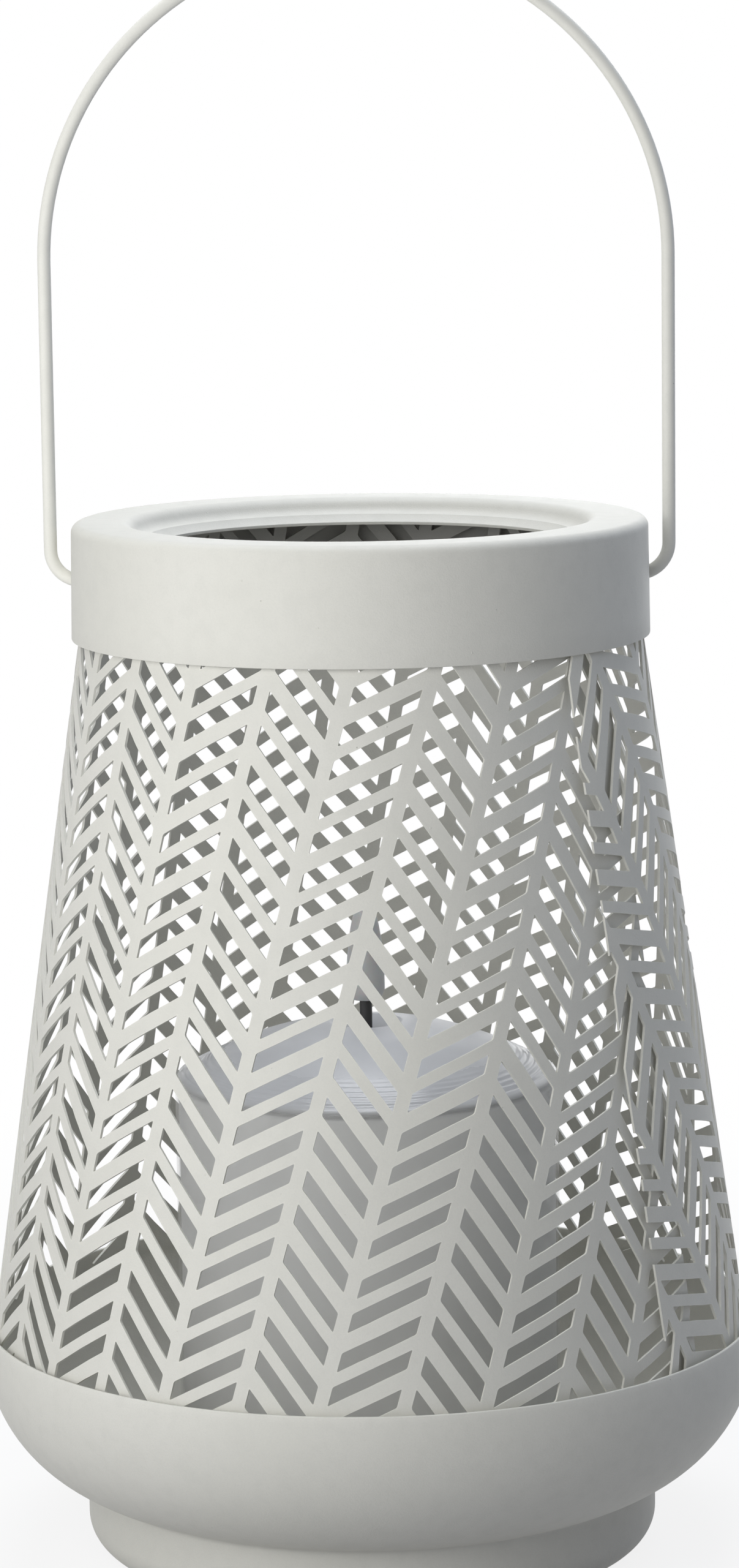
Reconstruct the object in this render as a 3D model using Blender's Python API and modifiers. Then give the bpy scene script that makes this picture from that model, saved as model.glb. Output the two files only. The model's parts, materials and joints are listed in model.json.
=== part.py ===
"""Table lantern: a herringbone sheet-steel shade on a spun bowl, a pressed collar, a wire bail,
and the battery candle that lights it.

Metres, +Z up. The origin is the centre of the ring that the foot stands on.
X runs along the bail's pivots and -Y is the front. Angles round the shade are
measured from the front, positive towards +X.
"""
import math

import bmesh
import bpy
from mathutils import Matrix, Vector
from mathutils.geometry import delaunay_2d_cdt

MM = 0.001

# Clearances and facets
GAP = 0.3 * MM                 # between pieces that touch on the real object
WELD = 0.001 * MM              # points closer than this are one point
CUT_THROUGH = 2.0              # a cutter reaches this many times past what it cuts
PIVOT_SHOWN = 10.0 * MM        # drawn size of the pivots' empties
TURN_STEPS = 32                # facets round the large turned pieces
SMALL_STEPS = 20               # facets round the candle's inner pieces
TINY_STEPS = 10                # facets round screws, cells' nubs and the wick
LEG_STEPS = 6                  # facets round the light's legs

# Bowl and foot, one spun sheet
BOWL_RADIUS = 74.4 * MM
BOWL_WALL = 0.7 * MM
BOWL_CURVE = 27.8 * MM         # radius of the bowl's side in section
BOWL_BULGE = math.radians(9.5)  # the side still widens by this much just below the rim
RIM_HEIGHT = 45.0 * MM
FOOT_RADIUS = 55.3 * MM
FOOT_FILLET = 1.2 * MM         # hollow between the bowl and its foot
FOOT_ROLL = 6.3 * MM           # rounding of the foot's lower edge
FOOT_RING = 2.3 * MM           # width of the ring that stands on the table
FLOOR_RISE = 2.0 * MM          # the floor is pressed up inside that ring
FLOOR_SLOPE = 1.5 * MM

# Collar, one pressed cap
COLLAR_RADIUS = 55.0 * MM      # at its lower edge
COLLAR_TAPER = 0.3 * MM        # narrower by this much at the top
COLLAR_HEIGHT = 22.0 * MM
COLLAR_WALL = 0.7 * MM
COLLAR_EDGE = 1.8 * MM         # rounding of the top outer edge
STEP_RADIUS = 43.0 * MM        # the flat top steps down here
STEP_ROLL = 1.4 * MM           # rounding of the step's upper edge
STEP_DROP = 3.0 * MM
MOUTH_RADIUS = 39.0 * MM
MOUTH_DROP = 4.4 * MM          # the mouth's edge lies this far below the top

# Shade, a perforated sheet rolled into a cone and lapped at the seam
SHADE_LENGTH = 132.2 * MM      # seen height, from the bowl's rim to the collar
SHADE_SHEET = 0.5 * MM
COLLAR_FIT = 0.65 * MM         # to the inside of the collar's lower edge
RIM_FIT = 1.0 * MM             # to the inside of the bowl's rim
COLLAR_TUCK = 5.0 * MM         # hidden in the collar
BOWL_TUCK = 2.5 * MM           # hidden in the bowl
SLOT_REACH = 0.5 * MM          # slots end this far inside the collar and the bowl
SEAM_ANGLE = math.radians(49.0)
LAP_ANGLE = math.radians(9.0)
LAP_RAMP = math.radians(35.0)
LAP_GAP = 0.5 * MM

# Herringbone of the flat sheet
SPINE_LEAN = math.radians(16.0)    # spines lean to the right at the top
SPINE_SPACING = 14.65 * MM
SPINE_WIDTH = 2.55 * MM
SLOT_ANGLE = math.radians(50.5)    # between a slot and its spine
SLOT_PITCH = 6.82 * MM             # along the spine
SLOT_LENGTH = 3.6 * MM             # slot opening along the spine
SLOT_STAGGER = 0.25 * MM           # slots sit in slightly closer pairs
ROW_SKEW = math.radians(1.65)      # rows of chevrons climb by this much to the right
PEAK_ACROSS = -12.3 * MM           # one chevron's peak, from the front line
PEAK_DOWN = 90.0 * MM              # and below the collar along the sheet
SMALLEST_SLOT = 16.0 * MM * MM     # cut slots below this area are left closed

# Bail, one bent wire
BAIL_WIRE = 2.5 * MM
BAIL_STANDOFF = 2.45 * MM          # between each leg and the collar
BAIL_LEG = 60.0 * MM               # from the pivots to the start of the arch
BAIL_BEND = 5.9 * MM
BAIL_STUB = 3.2 * MM               # the wire ends this far inside the collar wall
BAIL_HOLE_PLAY = 1.2 * MM          # the wire goes through its hole on a slant

# Battery candle
CANDLE_RADIUS = 37.0 * MM
CANDLE_SHOULDER = 89.5 * MM        # height of the straight side
CANDLE_DOME = 10.0 * MM
CANDLE_DISH = 2.4 * MM             # depth of the dish round the wick
DISH_RADIUS = 7.0 * MM
SHOULDER_ROUND = 1.5 * MM
SHELL_WALL = 1.6 * MM
CORE_WALL = 1.0 * MM
CORE_FIT = 0.4 * MM
BASE_FLANGE = 2.0 * MM
PLUG_HEIGHT = 6.0 * MM
PLUG_WALL = 1.5 * MM

# Power and light
CELL_RADIUS = 7.25 * MM
CELL_LENGTH = 49.5 * MM
NUB_RADIUS = 2.7 * MM
NUB_HEIGHT = 1.0 * MM
CELL_FIT = 0.35 * MM
HOLDER_WALL = 1.5 * MM
BORE_WEB = 1.0 * MM                # wall between the two bores
COVER_MARGIN = 2.15 * MM           # cover past the cells, so that they drop out
COVER_BOSS = 10.0 * MM
LUG_REACH = 2.0 * MM
LUG_WIDTH = 6.0 * MM
LUG_HEIGHT = 1.2 * MM
OPEN_TURN = math.radians(25.0)
COIN_SLOT = (14.0 * MM, 2.0 * MM, 0.8 * MM)
CONTACT_SHEET = 0.4 * MM
CONTACT_SIZE = 6.0 * MM
CONTACT_TAB = 3.0 * MM
CONTACT_RISE = 3.4 * MM            # room for the contacts above the cells
SPRING_WIRE = 0.6 * MM
SPRING_RADIUS = 3.0 * MM
SPRING_TURNS = 2
SPRING_TURN_STEPS = 8
SPRING_TAPER = 0.6                 # narrow end as a share of the wide end
BOARD_RADIUS = 16.0 * MM
BOARD_THICKNESS = 1.6 * MM
SCREW_RADIUS = 0.8 * MM
SCREW_LENGTH = 6.0 * MM
SCREW_HEAD = 2.0 * MM
SCREW_HEAD_HEIGHT = 1.4 * MM
SCREW_CROWN = 1.4 * MM             # radius of the head's flat top
SCREW_SPACING = 12.0 * MM
SWITCH_SIZE = (9.0 * MM, 4.4 * MM, 5.0 * MM)
SWITCH_SETBACK = 3.8 * MM          # switch centre from the plug's inner wall
KNOB_SIZE = (3.0 * MM, 2.0 * MM)
KNOB_TRAVEL = 2.0 * MM             # each way
KNOB_DEPTH = 1.8 * MM              # into the switch
WIRE_RADIUS = 0.5 * MM
WIRE_SPACING = 5.0 * MM
WIRE_INSET = 1.5 * MM              # switch wires meet the board this far from its edge
WIRE_BOW = 0.4                     # how far a wire runs straight up before it turns

# Wick and flame
STEM_RADIUS = 1.2 * MM
STEM_BORE = 0.85 * MM
STEM_RISE = 3.6 * MM               # seen above the dome
LED_RADIUS = 1.5 * MM
LED_HEIGHT = 5.0 * MM
LEG_RADIUS = 0.2 * MM
LEG_LENGTH = 20.0 * MM
FLAME_HEIGHT = 20.0 * MM
FLAME_RADIUS = 3.7 * MM
FLAME_WALL = 0.9 * MM
FLAME_WIDEST = 0.1                 # share of the height where it is widest
FLAME_FOOT = 0.72                  # radius at the foot as a share of the widest
FLAME_HOLLOW = 0.72                # share of the height that is hollow
FLAME_THICKER = 0.5                # the wall grows by this share towards the hollow's top

# Heights and radii worked out from the sizes above
COLLAR_LOW = RIM_HEIGHT + SHADE_LENGTH
COLLAR_TOP = COLLAR_LOW + COLLAR_HEIGHT
PIVOT_HEIGHT = COLLAR_LOW + 0.5 * COLLAR_HEIGHT
BAIL_SPREAD = COLLAR_RADIUS + BAIL_STANDOFF + 0.5 * BAIL_WIRE
BASE_LOW = FLOOR_RISE + BOWL_WALL + GAP
BASE_TOP = BASE_LOW + BASE_FLANGE
SHELL_LOW = BASE_TOP + GAP
SHOULDER_Z = BASE_LOW + CANDLE_SHOULDER
DOME_TOP = SHOULDER_Z + CANDLE_DOME
CORE_RADIUS = CANDLE_RADIUS - SHELL_WALL - CORE_FIT
CORE_INNER = CORE_RADIUS - CORE_WALL
PLUG_RADIUS = CORE_INNER - GAP
CORE_TOP = SHOULDER_Z - SHELL_WALL - GAP
PLUG_INNER = PLUG_RADIUS - PLUG_WALL
SWITCH_RADIUS = PLUG_INNER - SWITCH_SETBACK
BORE_RADIUS = CELL_RADIUS + CELL_FIT
CELL_X = BORE_RADIUS + 0.5 * BORE_WEB
COVER_RADIUS = CELL_X + CELL_RADIUS + COVER_MARGIN
COVER_HOLE = COVER_RADIUS + GAP
LUG_LOW = BASE_TOP + GAP
LUG_RADIUS = COVER_RADIUS + LUG_REACH
BRIDGE_LOW = LUG_LOW + LUG_HEIGHT + GAP
CELL_LOW = BRIDGE_LOW + CONTACT_SHEET + GAP
CELL_TOP = CELL_LOW + CELL_LENGTH + NUB_HEIGHT
HAT_RADIUS = LUG_RADIUS + 2 * GAP + HOLDER_WALL
HAT_TOP = CELL_LOW + HOLDER_WALL
HOLDER_TOP = CELL_TOP + CONTACT_RISE
BOARD_LOW = HOLDER_TOP + GAP
BOARD_TOP = BOARD_LOW + BOARD_THICKNESS
STEM_LOW = CORE_TOP + GAP
STEM_TOP = DOME_TOP + STEM_RISE
LED_LOW = STEM_TOP + GAP
FLAME_LOW = STEM_TOP + GAP

# Cone of the shade, from its two seen ends
SHADE_TOP_RADIUS = COLLAR_RADIUS - COLLAR_WALL - COLLAR_FIT
SHADE_LOW_RADIUS = BOWL_RADIUS - BOWL_WALL - RIM_FIT
CONE_ANGLE = math.atan((SHADE_LOW_RADIUS - SHADE_TOP_RADIUS) / SHADE_LENGTH)
COLLAR_SLANT = SHADE_TOP_RADIUS / math.sin(CONE_ANGLE)
APEX_HEIGHT = COLLAR_LOW + COLLAR_SLANT * math.cos(CONE_ANGLE)
TOP_SLANT = COLLAR_SLANT - COLLAR_TUCK / math.cos(CONE_ANGLE)
LOW_SLANT = COLLAR_SLANT + (SHADE_LENGTH + BOWL_TUCK) / math.cos(CONE_ANGLE)


# Scene helpers
def clear_scene():
    for old in list(bpy.data.objects):
        bpy.data.objects.remove(old, do_unlink=True)


def new_collection(name):
    group = bpy.data.collections.new(name)
    bpy.context.scene.collection.children.link(group)
    return group


def material(name, colour, roughness, metallic=0.0, alpha=1.0):
    finish = bpy.data.materials.new(name)
    finish.use_nodes = True
    shader = finish.node_tree.nodes["Principled BSDF"]
    shader.inputs["Base Color"].default_value = (*colour, 1.0)
    shader.inputs["Roughness"].default_value = roughness
    shader.inputs["Metallic"].default_value = metallic
    shader.inputs["Alpha"].default_value = alpha
    return finish


def add_object(name, data, finish=None, group=None):
    piece = bpy.data.objects.new(name, data)
    (group or PARTS).objects.link(piece)
    if finish is not None:
        data.materials.append(finish)
    return piece


def mesh_object(name, bm, finish=None, group=None):
    mesh = bpy.data.meshes.new(name)
    bm.to_mesh(mesh)
    bm.free()
    return add_object(name, mesh, finish, group)


def smooth(piece, angle=math.radians(35.0)):
    piece.data.shade_smooth()
    piece.data.set_sharp_from_angle(angle=angle)
    return piece


def solid_from_curve(piece):
    """A closed mesh object in place of a curve object."""
    bpy.context.view_layer.update()
    evaluated = piece.evaluated_get(bpy.context.evaluated_depsgraph_get())
    mesh = bpy.data.meshes.new_from_object(evaluated)
    bm = bmesh.new()
    bm.from_mesh(mesh)
    bmesh.ops.remove_doubles(bm, verts=bm.verts, dist=WELD)
    bmesh.ops.recalc_face_normals(bm, faces=bm.faces)
    bm.to_mesh(mesh)
    bm.free()
    solid = bpy.data.objects.new(piece.name + "_solid", mesh)
    solid.matrix_world = piece.matrix_world
    group = piece.users_collection[0]
    name = piece.name
    bpy.data.objects.remove(piece, do_unlink=True)
    group.objects.link(solid)
    solid.name = name
    return solid


# Profiles and turned shapes
def arc(centre, radius, start, end, count):
    """Points on an arc in the (radius, height) plane, both ends included."""
    points = []
    for i in range(count + 1):
        angle = start + (end - start) * i / count
        points.append((centre[0] + radius * math.cos(angle), centre[1] + radius * math.sin(angle)))
    return points


def turned(name, profile, finish, steps, closed=False, wall=None, group=None):
    """A profile of (radius, height) points turned about Z with a Screw modifier."""
    bm = bmesh.new()
    verts = [bm.verts.new((r, 0.0, z)) for r, z in profile]
    for a, b in zip(verts, verts[1:]):
        bm.edges.new((a, b))
    if closed:
        bm.edges.new((verts[-1], verts[0]))
    piece = mesh_object(name, bm, finish, group)
    screw = piece.modifiers.new("turn", "SCREW")
    screw.axis = "Z"
    screw.steps = steps
    screw.render_steps = steps
    screw.use_merge_vertices = True
    screw.merge_threshold = WELD
    screw.use_smooth_shade = True
    if wall is not None:
        shell = piece.modifiers.new("wall", "SOLIDIFY")
        shell.thickness = wall
        shell.offset = -1.0
        shell.use_even_offset = True
    return piece


def cylinder(name, radius, low, high, finish=None, steps=SMALL_STEPS, at=(0.0, 0.0), group=None):
    bm = bmesh.new()
    bmesh.ops.create_cone(bm, cap_ends=True, segments=steps, radius1=radius, radius2=radius, depth=high - low)
    piece = mesh_object(name, bm, finish, group)
    piece.location = (at[0], at[1], 0.5 * (low + high))
    return smooth(piece)


def box(name, size, centre, finish=None, group=None):
    bm = bmesh.new()
    bmesh.ops.create_cube(bm, size=1.0, matrix=Matrix.Diagonal((*size, 1.0)))
    piece = mesh_object(name, bm, finish, group)
    piece.location = centre
    return piece


def wire(name, points, radius, finish, sides=1):
    """A round wire along a list of points, as a poly curve with filled caps."""
    curve = bpy.data.curves.new(name, "CURVE")
    curve.dimensions = "3D"
    curve.bevel_depth = radius
    curve.bevel_resolution = sides
    curve.use_fill_caps = True
    spline = curve.splines.new("POLY")
    spline.points.add(len(points) - 1)
    for point, place in zip(spline.points, points):
        point.co = (*place, 1.0)
    return add_object(name, curve, finish)


def as_cutter(piece):
    piece.hide_render = True
    piece.display_type = "WIRE"
    return piece


def combine(piece, other, operation):
    change = piece.modifiers.new(operation.lower() + "_" + other.name, "BOOLEAN")
    change.operation = operation
    change.object = other
    change.solver = "EXACT"
    as_cutter(other)


def cut(piece, other):
    combine(piece, other, "DIFFERENCE")


def join(piece, other):
    combine(piece, other, "UNION")


def hang_from(parent, *pieces):
    """Parent pieces to an empty and keep them where they are."""
    bpy.context.view_layer.update()
    for piece in pieces:
        piece.parent = parent
        piece.matrix_parent_inverse = parent.matrix_world.inverted()


def pivot(name, place):
    empty = bpy.data.objects.new(name, None)
    empty.empty_display_size = PIVOT_SHOWN
    empty.location = place
    PARTS.objects.link(empty)
    return empty


# Bowl and foot
def make_bowl(finish):
    side_x = BOWL_RADIUS - BOWL_CURVE * math.cos(BOWL_BULGE)
    side_centre = (side_x, RIM_HEIGHT - BOWL_CURVE * math.sin(BOWL_BULGE))
    hollow_x = FOOT_RADIUS + FOOT_FILLET
    reach = BOWL_CURVE + FOOT_FILLET
    across = hollow_x - side_centre[0]
    drop = math.sqrt(reach * reach - across * across)
    hollow = (hollow_x, side_centre[1] - drop)
    meet = math.atan2(-drop, across)
    ring_inner = FOOT_RADIUS - FOOT_ROLL - FOOT_RING
    profile = arc(side_centre, BOWL_CURVE, BOWL_BULGE, meet, 6)
    profile += arc(hollow, FOOT_FILLET, meet + math.pi, math.pi, 2)[1:]
    roll = (FOOT_RADIUS - FOOT_ROLL, FOOT_ROLL)
    profile += arc(roll, FOOT_ROLL, 0.0, -0.5 * math.pi, 3)
    profile += [(ring_inner, 0.0), (ring_inner - FLOOR_SLOPE, FLOOR_RISE), (0.0, FLOOR_RISE)]
    return turned("base_bowl", profile, finish, TURN_STEPS, wall=BOWL_WALL)


# Collar with the bail's two holes
def make_collar(finish):
    top_radius = COLLAR_RADIUS - COLLAR_TAPER
    edge = (top_radius - COLLAR_EDGE, COLLAR_TOP - COLLAR_EDGE)
    roll = (STEP_RADIUS + STEP_ROLL, COLLAR_TOP - STEP_ROLL)
    profile = [(MOUTH_RADIUS, COLLAR_TOP - MOUTH_DROP), (STEP_RADIUS, COLLAR_TOP - STEP_DROP)]
    profile += arc(roll, STEP_ROLL, math.pi, 0.5 * math.pi, 2)
    profile += arc(edge, COLLAR_EDGE, 0.5 * math.pi, 0.0, 2)
    profile += [(COLLAR_RADIUS, COLLAR_LOW)]
    collar = turned("collar", profile, finish, TURN_STEPS, wall=COLLAR_WALL)
    drill = cylinder("bail_drill", 0.5 * (BAIL_WIRE + BAIL_HOLE_PLAY), -CUT_THROUGH * COLLAR_RADIUS,
                     CUT_THROUGH * COLLAR_RADIUS, steps=TINY_STEPS, group=CUTTERS)
    drill.rotation_euler = (0.0, 0.5 * math.pi, 0.0)
    drill.location = (0.0, 0.0, PIVOT_HEIGHT)
    cut(collar, drill)
    return collar


# Shade: slots laid out on the flat sheet
def chevron_rise(across):
    """How far a slot has dropped from its chevron's peak at this distance across the spines."""
    step = (across / SPINE_SPACING + 1.0) % 2.0 - 1.0
    return abs(step) * SPINE_SPACING / math.tan(SLOT_ANGLE) - across * math.tan(ROW_SKEW)


def slot_corners(column, row):
    """One slot as four corners on the flat sheet: x across from the front line, y from the cone's apex."""
    along = Vector((-math.sin(SPINE_LEAN), math.cos(SPINE_LEAN)))
    across = Vector((math.cos(SPINE_LEAN), math.sin(SPINE_LEAN)))
    peak_slant = COLLAR_SLANT + PEAK_DOWN
    peak = Vector((PEAK_ACROSS, math.sqrt(peak_slant * peak_slant - PEAK_ACROSS * PEAK_ACROSS)))
    shift = SLOT_STAGGER if (row + column) % 2 == 0 else -SLOT_STAGGER
    left = column * SPINE_SPACING + 0.5 * SPINE_WIDTH
    right = (column + 1) * SPINE_SPACING - 0.5 * SPINE_WIDTH
    corners = []
    for side, end in ((left, -0.5), (right, -0.5), (right, 0.5), (left, 0.5)):
        down = row * SLOT_PITCH + shift + chevron_rise(side) + end * SLOT_LENGTH
        corners.append(peak + side * across + down * along)
    return corners


def keep_side(polygon, normal, limit):
    """The part of a convex polygon where the distance along normal stays below limit."""
    kept = []
    for here, after in zip(polygon, polygon[1:] + polygon[:1]):
        a = here.dot(normal) - limit
        b = after.dot(normal) - limit
        if a <= 0.0:
            kept.append(here)
        if a * b < 0.0:
            kept.append(here + (after - here) * (a / (a - b)))
    return kept


def polygon_area(polygon):
    total = 0.0
    for here, after in zip(polygon, polygon[1:] + polygon[:1]):
        total += here.x * after.y - after.x * here.y
    return abs(0.5 * total)


def sheet_angles():
    """Flat angles of the outer cut end and of the end tucked under it."""
    squeeze = math.sin(CONE_ANGLE)
    return (SEAM_ANGLE - 2.0 * math.pi) * squeeze, (SEAM_ANGLE + LAP_ANGLE) * squeeze


def slots_on_sheet(first, last):
    """Every slot that lies between two flat angles, trimmed to closed hems at both ends."""
    high = COLLAR_SLANT - SLOT_REACH
    low = COLLAR_SLANT + SHADE_LENGTH / math.cos(CONE_ANGLE) + SLOT_REACH
    reach = int(LOW_SLANT / SPINE_SPACING) + 2
    rows = int(LOW_SLANT * 2.0 / SLOT_PITCH)
    found = []
    for column in range(-reach, reach):
        for row in range(-rows, rows):
            slot = slot_corners(column, row)
            middle = (slot[0] + slot[2]) * 0.5
            if not high - SPINE_SPACING < middle.length < low + SPINE_SPACING or middle.y < 0.0:
                continue
            outward = middle.normalized()
            slot = keep_side(slot, outward, low)
            slot = keep_side(slot, -outward, -high)
            angles = [math.atan2(corner.x, corner.y) for corner in slot]
            if len(slot) > 2 and polygon_area(slot) > SMALLEST_SLOT:
                if min(angles) > first and max(angles) < last:
                    found.append(slot)
    return found


def sheet_outline(first, last):
    """The flat sector between two angles, as points along its upper and lower arcs."""
    outline = []
    for slant, start, end in ((TOP_SLANT, first, last), (LOW_SLANT, last, first)):
        for i in range(TURN_STEPS + 1):
            angle = start + (end - start) * i / TURN_STEPS
            outline.append(Vector((slant * math.sin(angle), slant * math.cos(angle))))
    return outline


def flat_sheet():
    """The sheet lying flat with its slots punched, evenly triangulated so that it bends well."""
    outer_end, inner_end = sheet_angles()
    spare = 2.0 * SPINE_SPACING / TOP_SLANT
    margin = 0.5 * SPINE_WIDTH / TOP_SLANT
    first, last = outer_end - spare, inner_end + spare
    points = []
    loops = []
    for loop in [sheet_outline(first, last)] + slots_on_sheet(first + margin, last - margin):
        loops.append(list(range(len(points), len(points) + len(loop))))
        points += [place / MM for place in loop]
    triangles_inside = 1
    points, _, faces, _, _, owners = delaunay_2d_cdt(points, [], loops, triangles_inside, 1e-6)
    bm = bmesh.new()
    verts = [bm.verts.new((place.x * MM, place.y * MM, 0.5 * SHADE_SHEET)) for place in points]
    solid = [face for face, loops_round in zip(faces, owners) if loops_round == [0]]
    sheet = [bm.faces.new([verts[i] for i in face]) for face in solid]
    back = bmesh.ops.extrude_face_region(bm, geom=sheet, use_keep_orig=True)["geom"]
    back = [item for item in back if isinstance(item, bmesh.types.BMVert)]
    bmesh.ops.translate(bm, verts=back, vec=(0.0, 0.0, -SHADE_SHEET))
    bmesh.ops.delete(bm, geom=[vert for vert in bm.verts if not vert.link_faces], context="VERTS")
    return bm


def trim_end(bm, angle, keep_lower):
    """Cut the flat sheet along a line through the cone's apex and close the cut faces."""
    normal = Vector((math.cos(angle), -math.sin(angle), 0.0))
    if not keep_lower:
        normal = -normal
    geometry = bm.verts[:] + bm.edges[:] + bm.faces[:]
    bmesh.ops.bisect_plane(bm, geom=geometry, dist=0.1 * WELD, plane_co=(0.0, 0.0, 0.0),
                           plane_no=normal, clear_outer=True)
    rim = [edge for edge in bm.edges if len(edge.link_faces) == 1]
    bmesh.ops.holes_fill(bm, edges=rim, sides=0)


def drop_loose_bits(bm):
    """Keep only the largest connected body."""
    unseen = set(bm.verts)
    bodies = []
    while unseen:
        stack = [unseen.pop()]
        body = set(stack)
        while stack:
            for edge in stack.pop().link_edges:
                for vert in edge.verts:
                    if vert in unseen:
                        unseen.discard(vert)
                        body.add(vert)
                        stack.append(vert)
        bodies.append(body)
    bodies.sort(key=len)
    for body in bodies[:-1]:
        bmesh.ops.delete(bm, geom=list(body), context="VERTS")


def lap_offset(turn):
    """How far the sheet steps inwards where its end passes under the outer end."""
    t = (turn - (SEAM_ANGLE - LAP_RAMP)) / LAP_RAMP
    t = min(max(t, 0.0), 1.0)
    return -(SHADE_SHEET + LAP_GAP) * t * t * (3.0 - 2.0 * t)


def roll_up(bm):
    """Roll the flat sheet onto the cone, outer face at the cone's surface."""
    squeeze = math.sin(CONE_ANGLE)
    rise = math.cos(CONE_ANGLE)
    for vert in bm.verts:
        slant = math.hypot(vert.co.x, vert.co.y)
        turn = math.atan2(vert.co.x, vert.co.y) / squeeze
        lift = vert.co.z - 0.5 * SHADE_SHEET + lap_offset(turn)
        radius = slant * squeeze + lift * rise
        height = APEX_HEIGHT - slant * rise + lift * squeeze
        vert.co = (radius * math.sin(turn), -radius * math.cos(turn), height)


def make_shade(finish):
    bm = flat_sheet()
    outer_end, inner_end = sheet_angles()
    trim_end(bm, outer_end, keep_lower=False)
    trim_end(bm, inner_end, keep_lower=True)
    drop_loose_bits(bm)
    roll_up(bm)
    bmesh.ops.recalc_face_normals(bm, faces=bm.faces)
    return mesh_object("shade", bm, finish)


# Bail handle
def bail_points():
    """Centre line of the bail in its own plane, as (x, height above the pivots)."""
    wall = COLLAR_RADIUS - 0.5 * (COLLAR_TAPER + COLLAR_WALL)
    tip = wall - BAIL_STUB
    inner = BAIL_SPREAD - BAIL_BEND
    bent = max(0.0, wall - inner)
    rise = math.sqrt(BAIL_BEND * BAIL_BEND - bent * bent)
    half = [(tip, rise - BAIL_BEND)]
    half += arc((inner, rise), BAIL_BEND, -0.5 * math.pi, 0.0, 6)
    half += arc((0.0, BAIL_LEG), BAIL_SPREAD, 0.0, 0.5 * math.pi, 9)
    mirrored = [(-x, z) for x, z in half[:-1]]
    return mirrored + half[::-1]


def make_bail(finish):
    points = [(x, 0.0, PIVOT_HEIGHT + z) for x, z in bail_points()]
    bail = solid_from_curve(wire("bail_handle", points, 0.5 * BAIL_WIRE, finish, sides=2))
    hang_from(pivot("bail_pivot", (0.0, 0.0, PIVOT_HEIGHT)), smooth(bail))
    return bail


# Candle casing
def dome_height(radius):
    """Height of the candle's domed top at this distance from its axis."""
    share = radius / (CANDLE_RADIUS - SHOULDER_ROUND)
    dish = max(0.0, 1.0 - (radius / DISH_RADIUS) ** 2)
    return DOME_TOP - CANDLE_DOME * share * share - CANDLE_DISH * dish


def make_candle_shell(finish):
    hole = STEM_RADIUS + GAP
    flat_radius = CANDLE_RADIUS - SHOULDER_ROUND
    radii = [hole, 0.5 * (hole + DISH_RADIUS)]
    count = 3
    radii += [DISH_RADIUS + (flat_radius - DISH_RADIUS) * i / count for i in range(count + 1)]
    profile = [(radius, dome_height(radius)) for radius in radii]
    corner = (flat_radius, SHOULDER_Z - SHOULDER_ROUND)
    profile += arc(corner, SHOULDER_ROUND, 0.5 * math.pi, 0.0, 1)[1:]
    profile += [(CANDLE_RADIUS, SHELL_LOW)]
    return turned("candle_shell", profile, finish, TURN_STEPS, wall=SHELL_WALL)


def make_candle_core(finish):
    profile = [(STEM_BORE, CORE_TOP), (CORE_RADIUS, CORE_TOP), (CORE_RADIUS, SHELL_LOW)]
    return turned("candle_core", profile, finish, TURN_STEPS, wall=CORE_WALL)


def knob_track():
    """Length and width that the switch's knob needs for its travel."""
    return KNOB_SIZE[0] + 2.0 * (KNOB_TRAVEL + GAP), KNOB_SIZE[1] + 2.0 * GAP


def make_candle_base(finish):
    profile = [
        (PLUG_INNER, BASE_TOP + PLUG_HEIGHT), (PLUG_RADIUS, BASE_TOP + PLUG_HEIGHT),
        (PLUG_RADIUS, BASE_TOP), (CANDLE_RADIUS, BASE_TOP), (CANDLE_RADIUS, BASE_LOW),
        (COVER_HOLE, BASE_LOW), (COVER_HOLE, BASE_TOP), (PLUG_INNER, BASE_TOP),
    ]
    base = turned("candle_base", profile, finish, TURN_STEPS, closed=True)
    notch_size = (2.0 * (LUG_RADIUS + GAP), LUG_WIDTH + 2.0 * GAP, 2.0 * CUT_THROUGH * BASE_FLANGE)
    notch = box("lug_notches", notch_size, (0.0, 0.0, BASE_LOW), group=CUTTERS)
    notch.rotation_euler = (0.0, 0.0, OPEN_TURN)
    cut(base, notch)
    window_size = (*knob_track(), 2.0 * CUT_THROUGH * BASE_FLANGE)
    window = box("switch_window", window_size, (0.0, SWITCH_RADIUS, BASE_LOW), group=CUTTERS)
    cut(base, window)
    return base


# Battery holder, cells and contacts
def stadium(name, radius, half_length, low, high, group):
    """An upright block with round ends, as a filled 2D curve made solid."""
    curve = bpy.data.curves.new(name, "CURVE")
    curve.dimensions = "2D"
    curve.fill_mode = "BOTH"
    curve.extrude = 0.5 * (high - low)
    half_turn = SMALL_STEPS // 2
    loop = arc((half_length, 0.0), radius, -0.5 * math.pi, 0.5 * math.pi, half_turn)
    loop += arc((-half_length, 0.0), radius, 0.5 * math.pi, 1.5 * math.pi, half_turn)
    spline = curve.splines.new("POLY")
    spline.points.add(len(loop) - 1)
    for point, place in zip(spline.points, loop):
        point.co = (*place, 0.0, 1.0)
    spline.use_cyclic_u = True
    block = add_object(name, curve, group=group)
    block.location = (0.0, 0.0, 0.5 * (low + high))
    return solid_from_curve(block)


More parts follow.
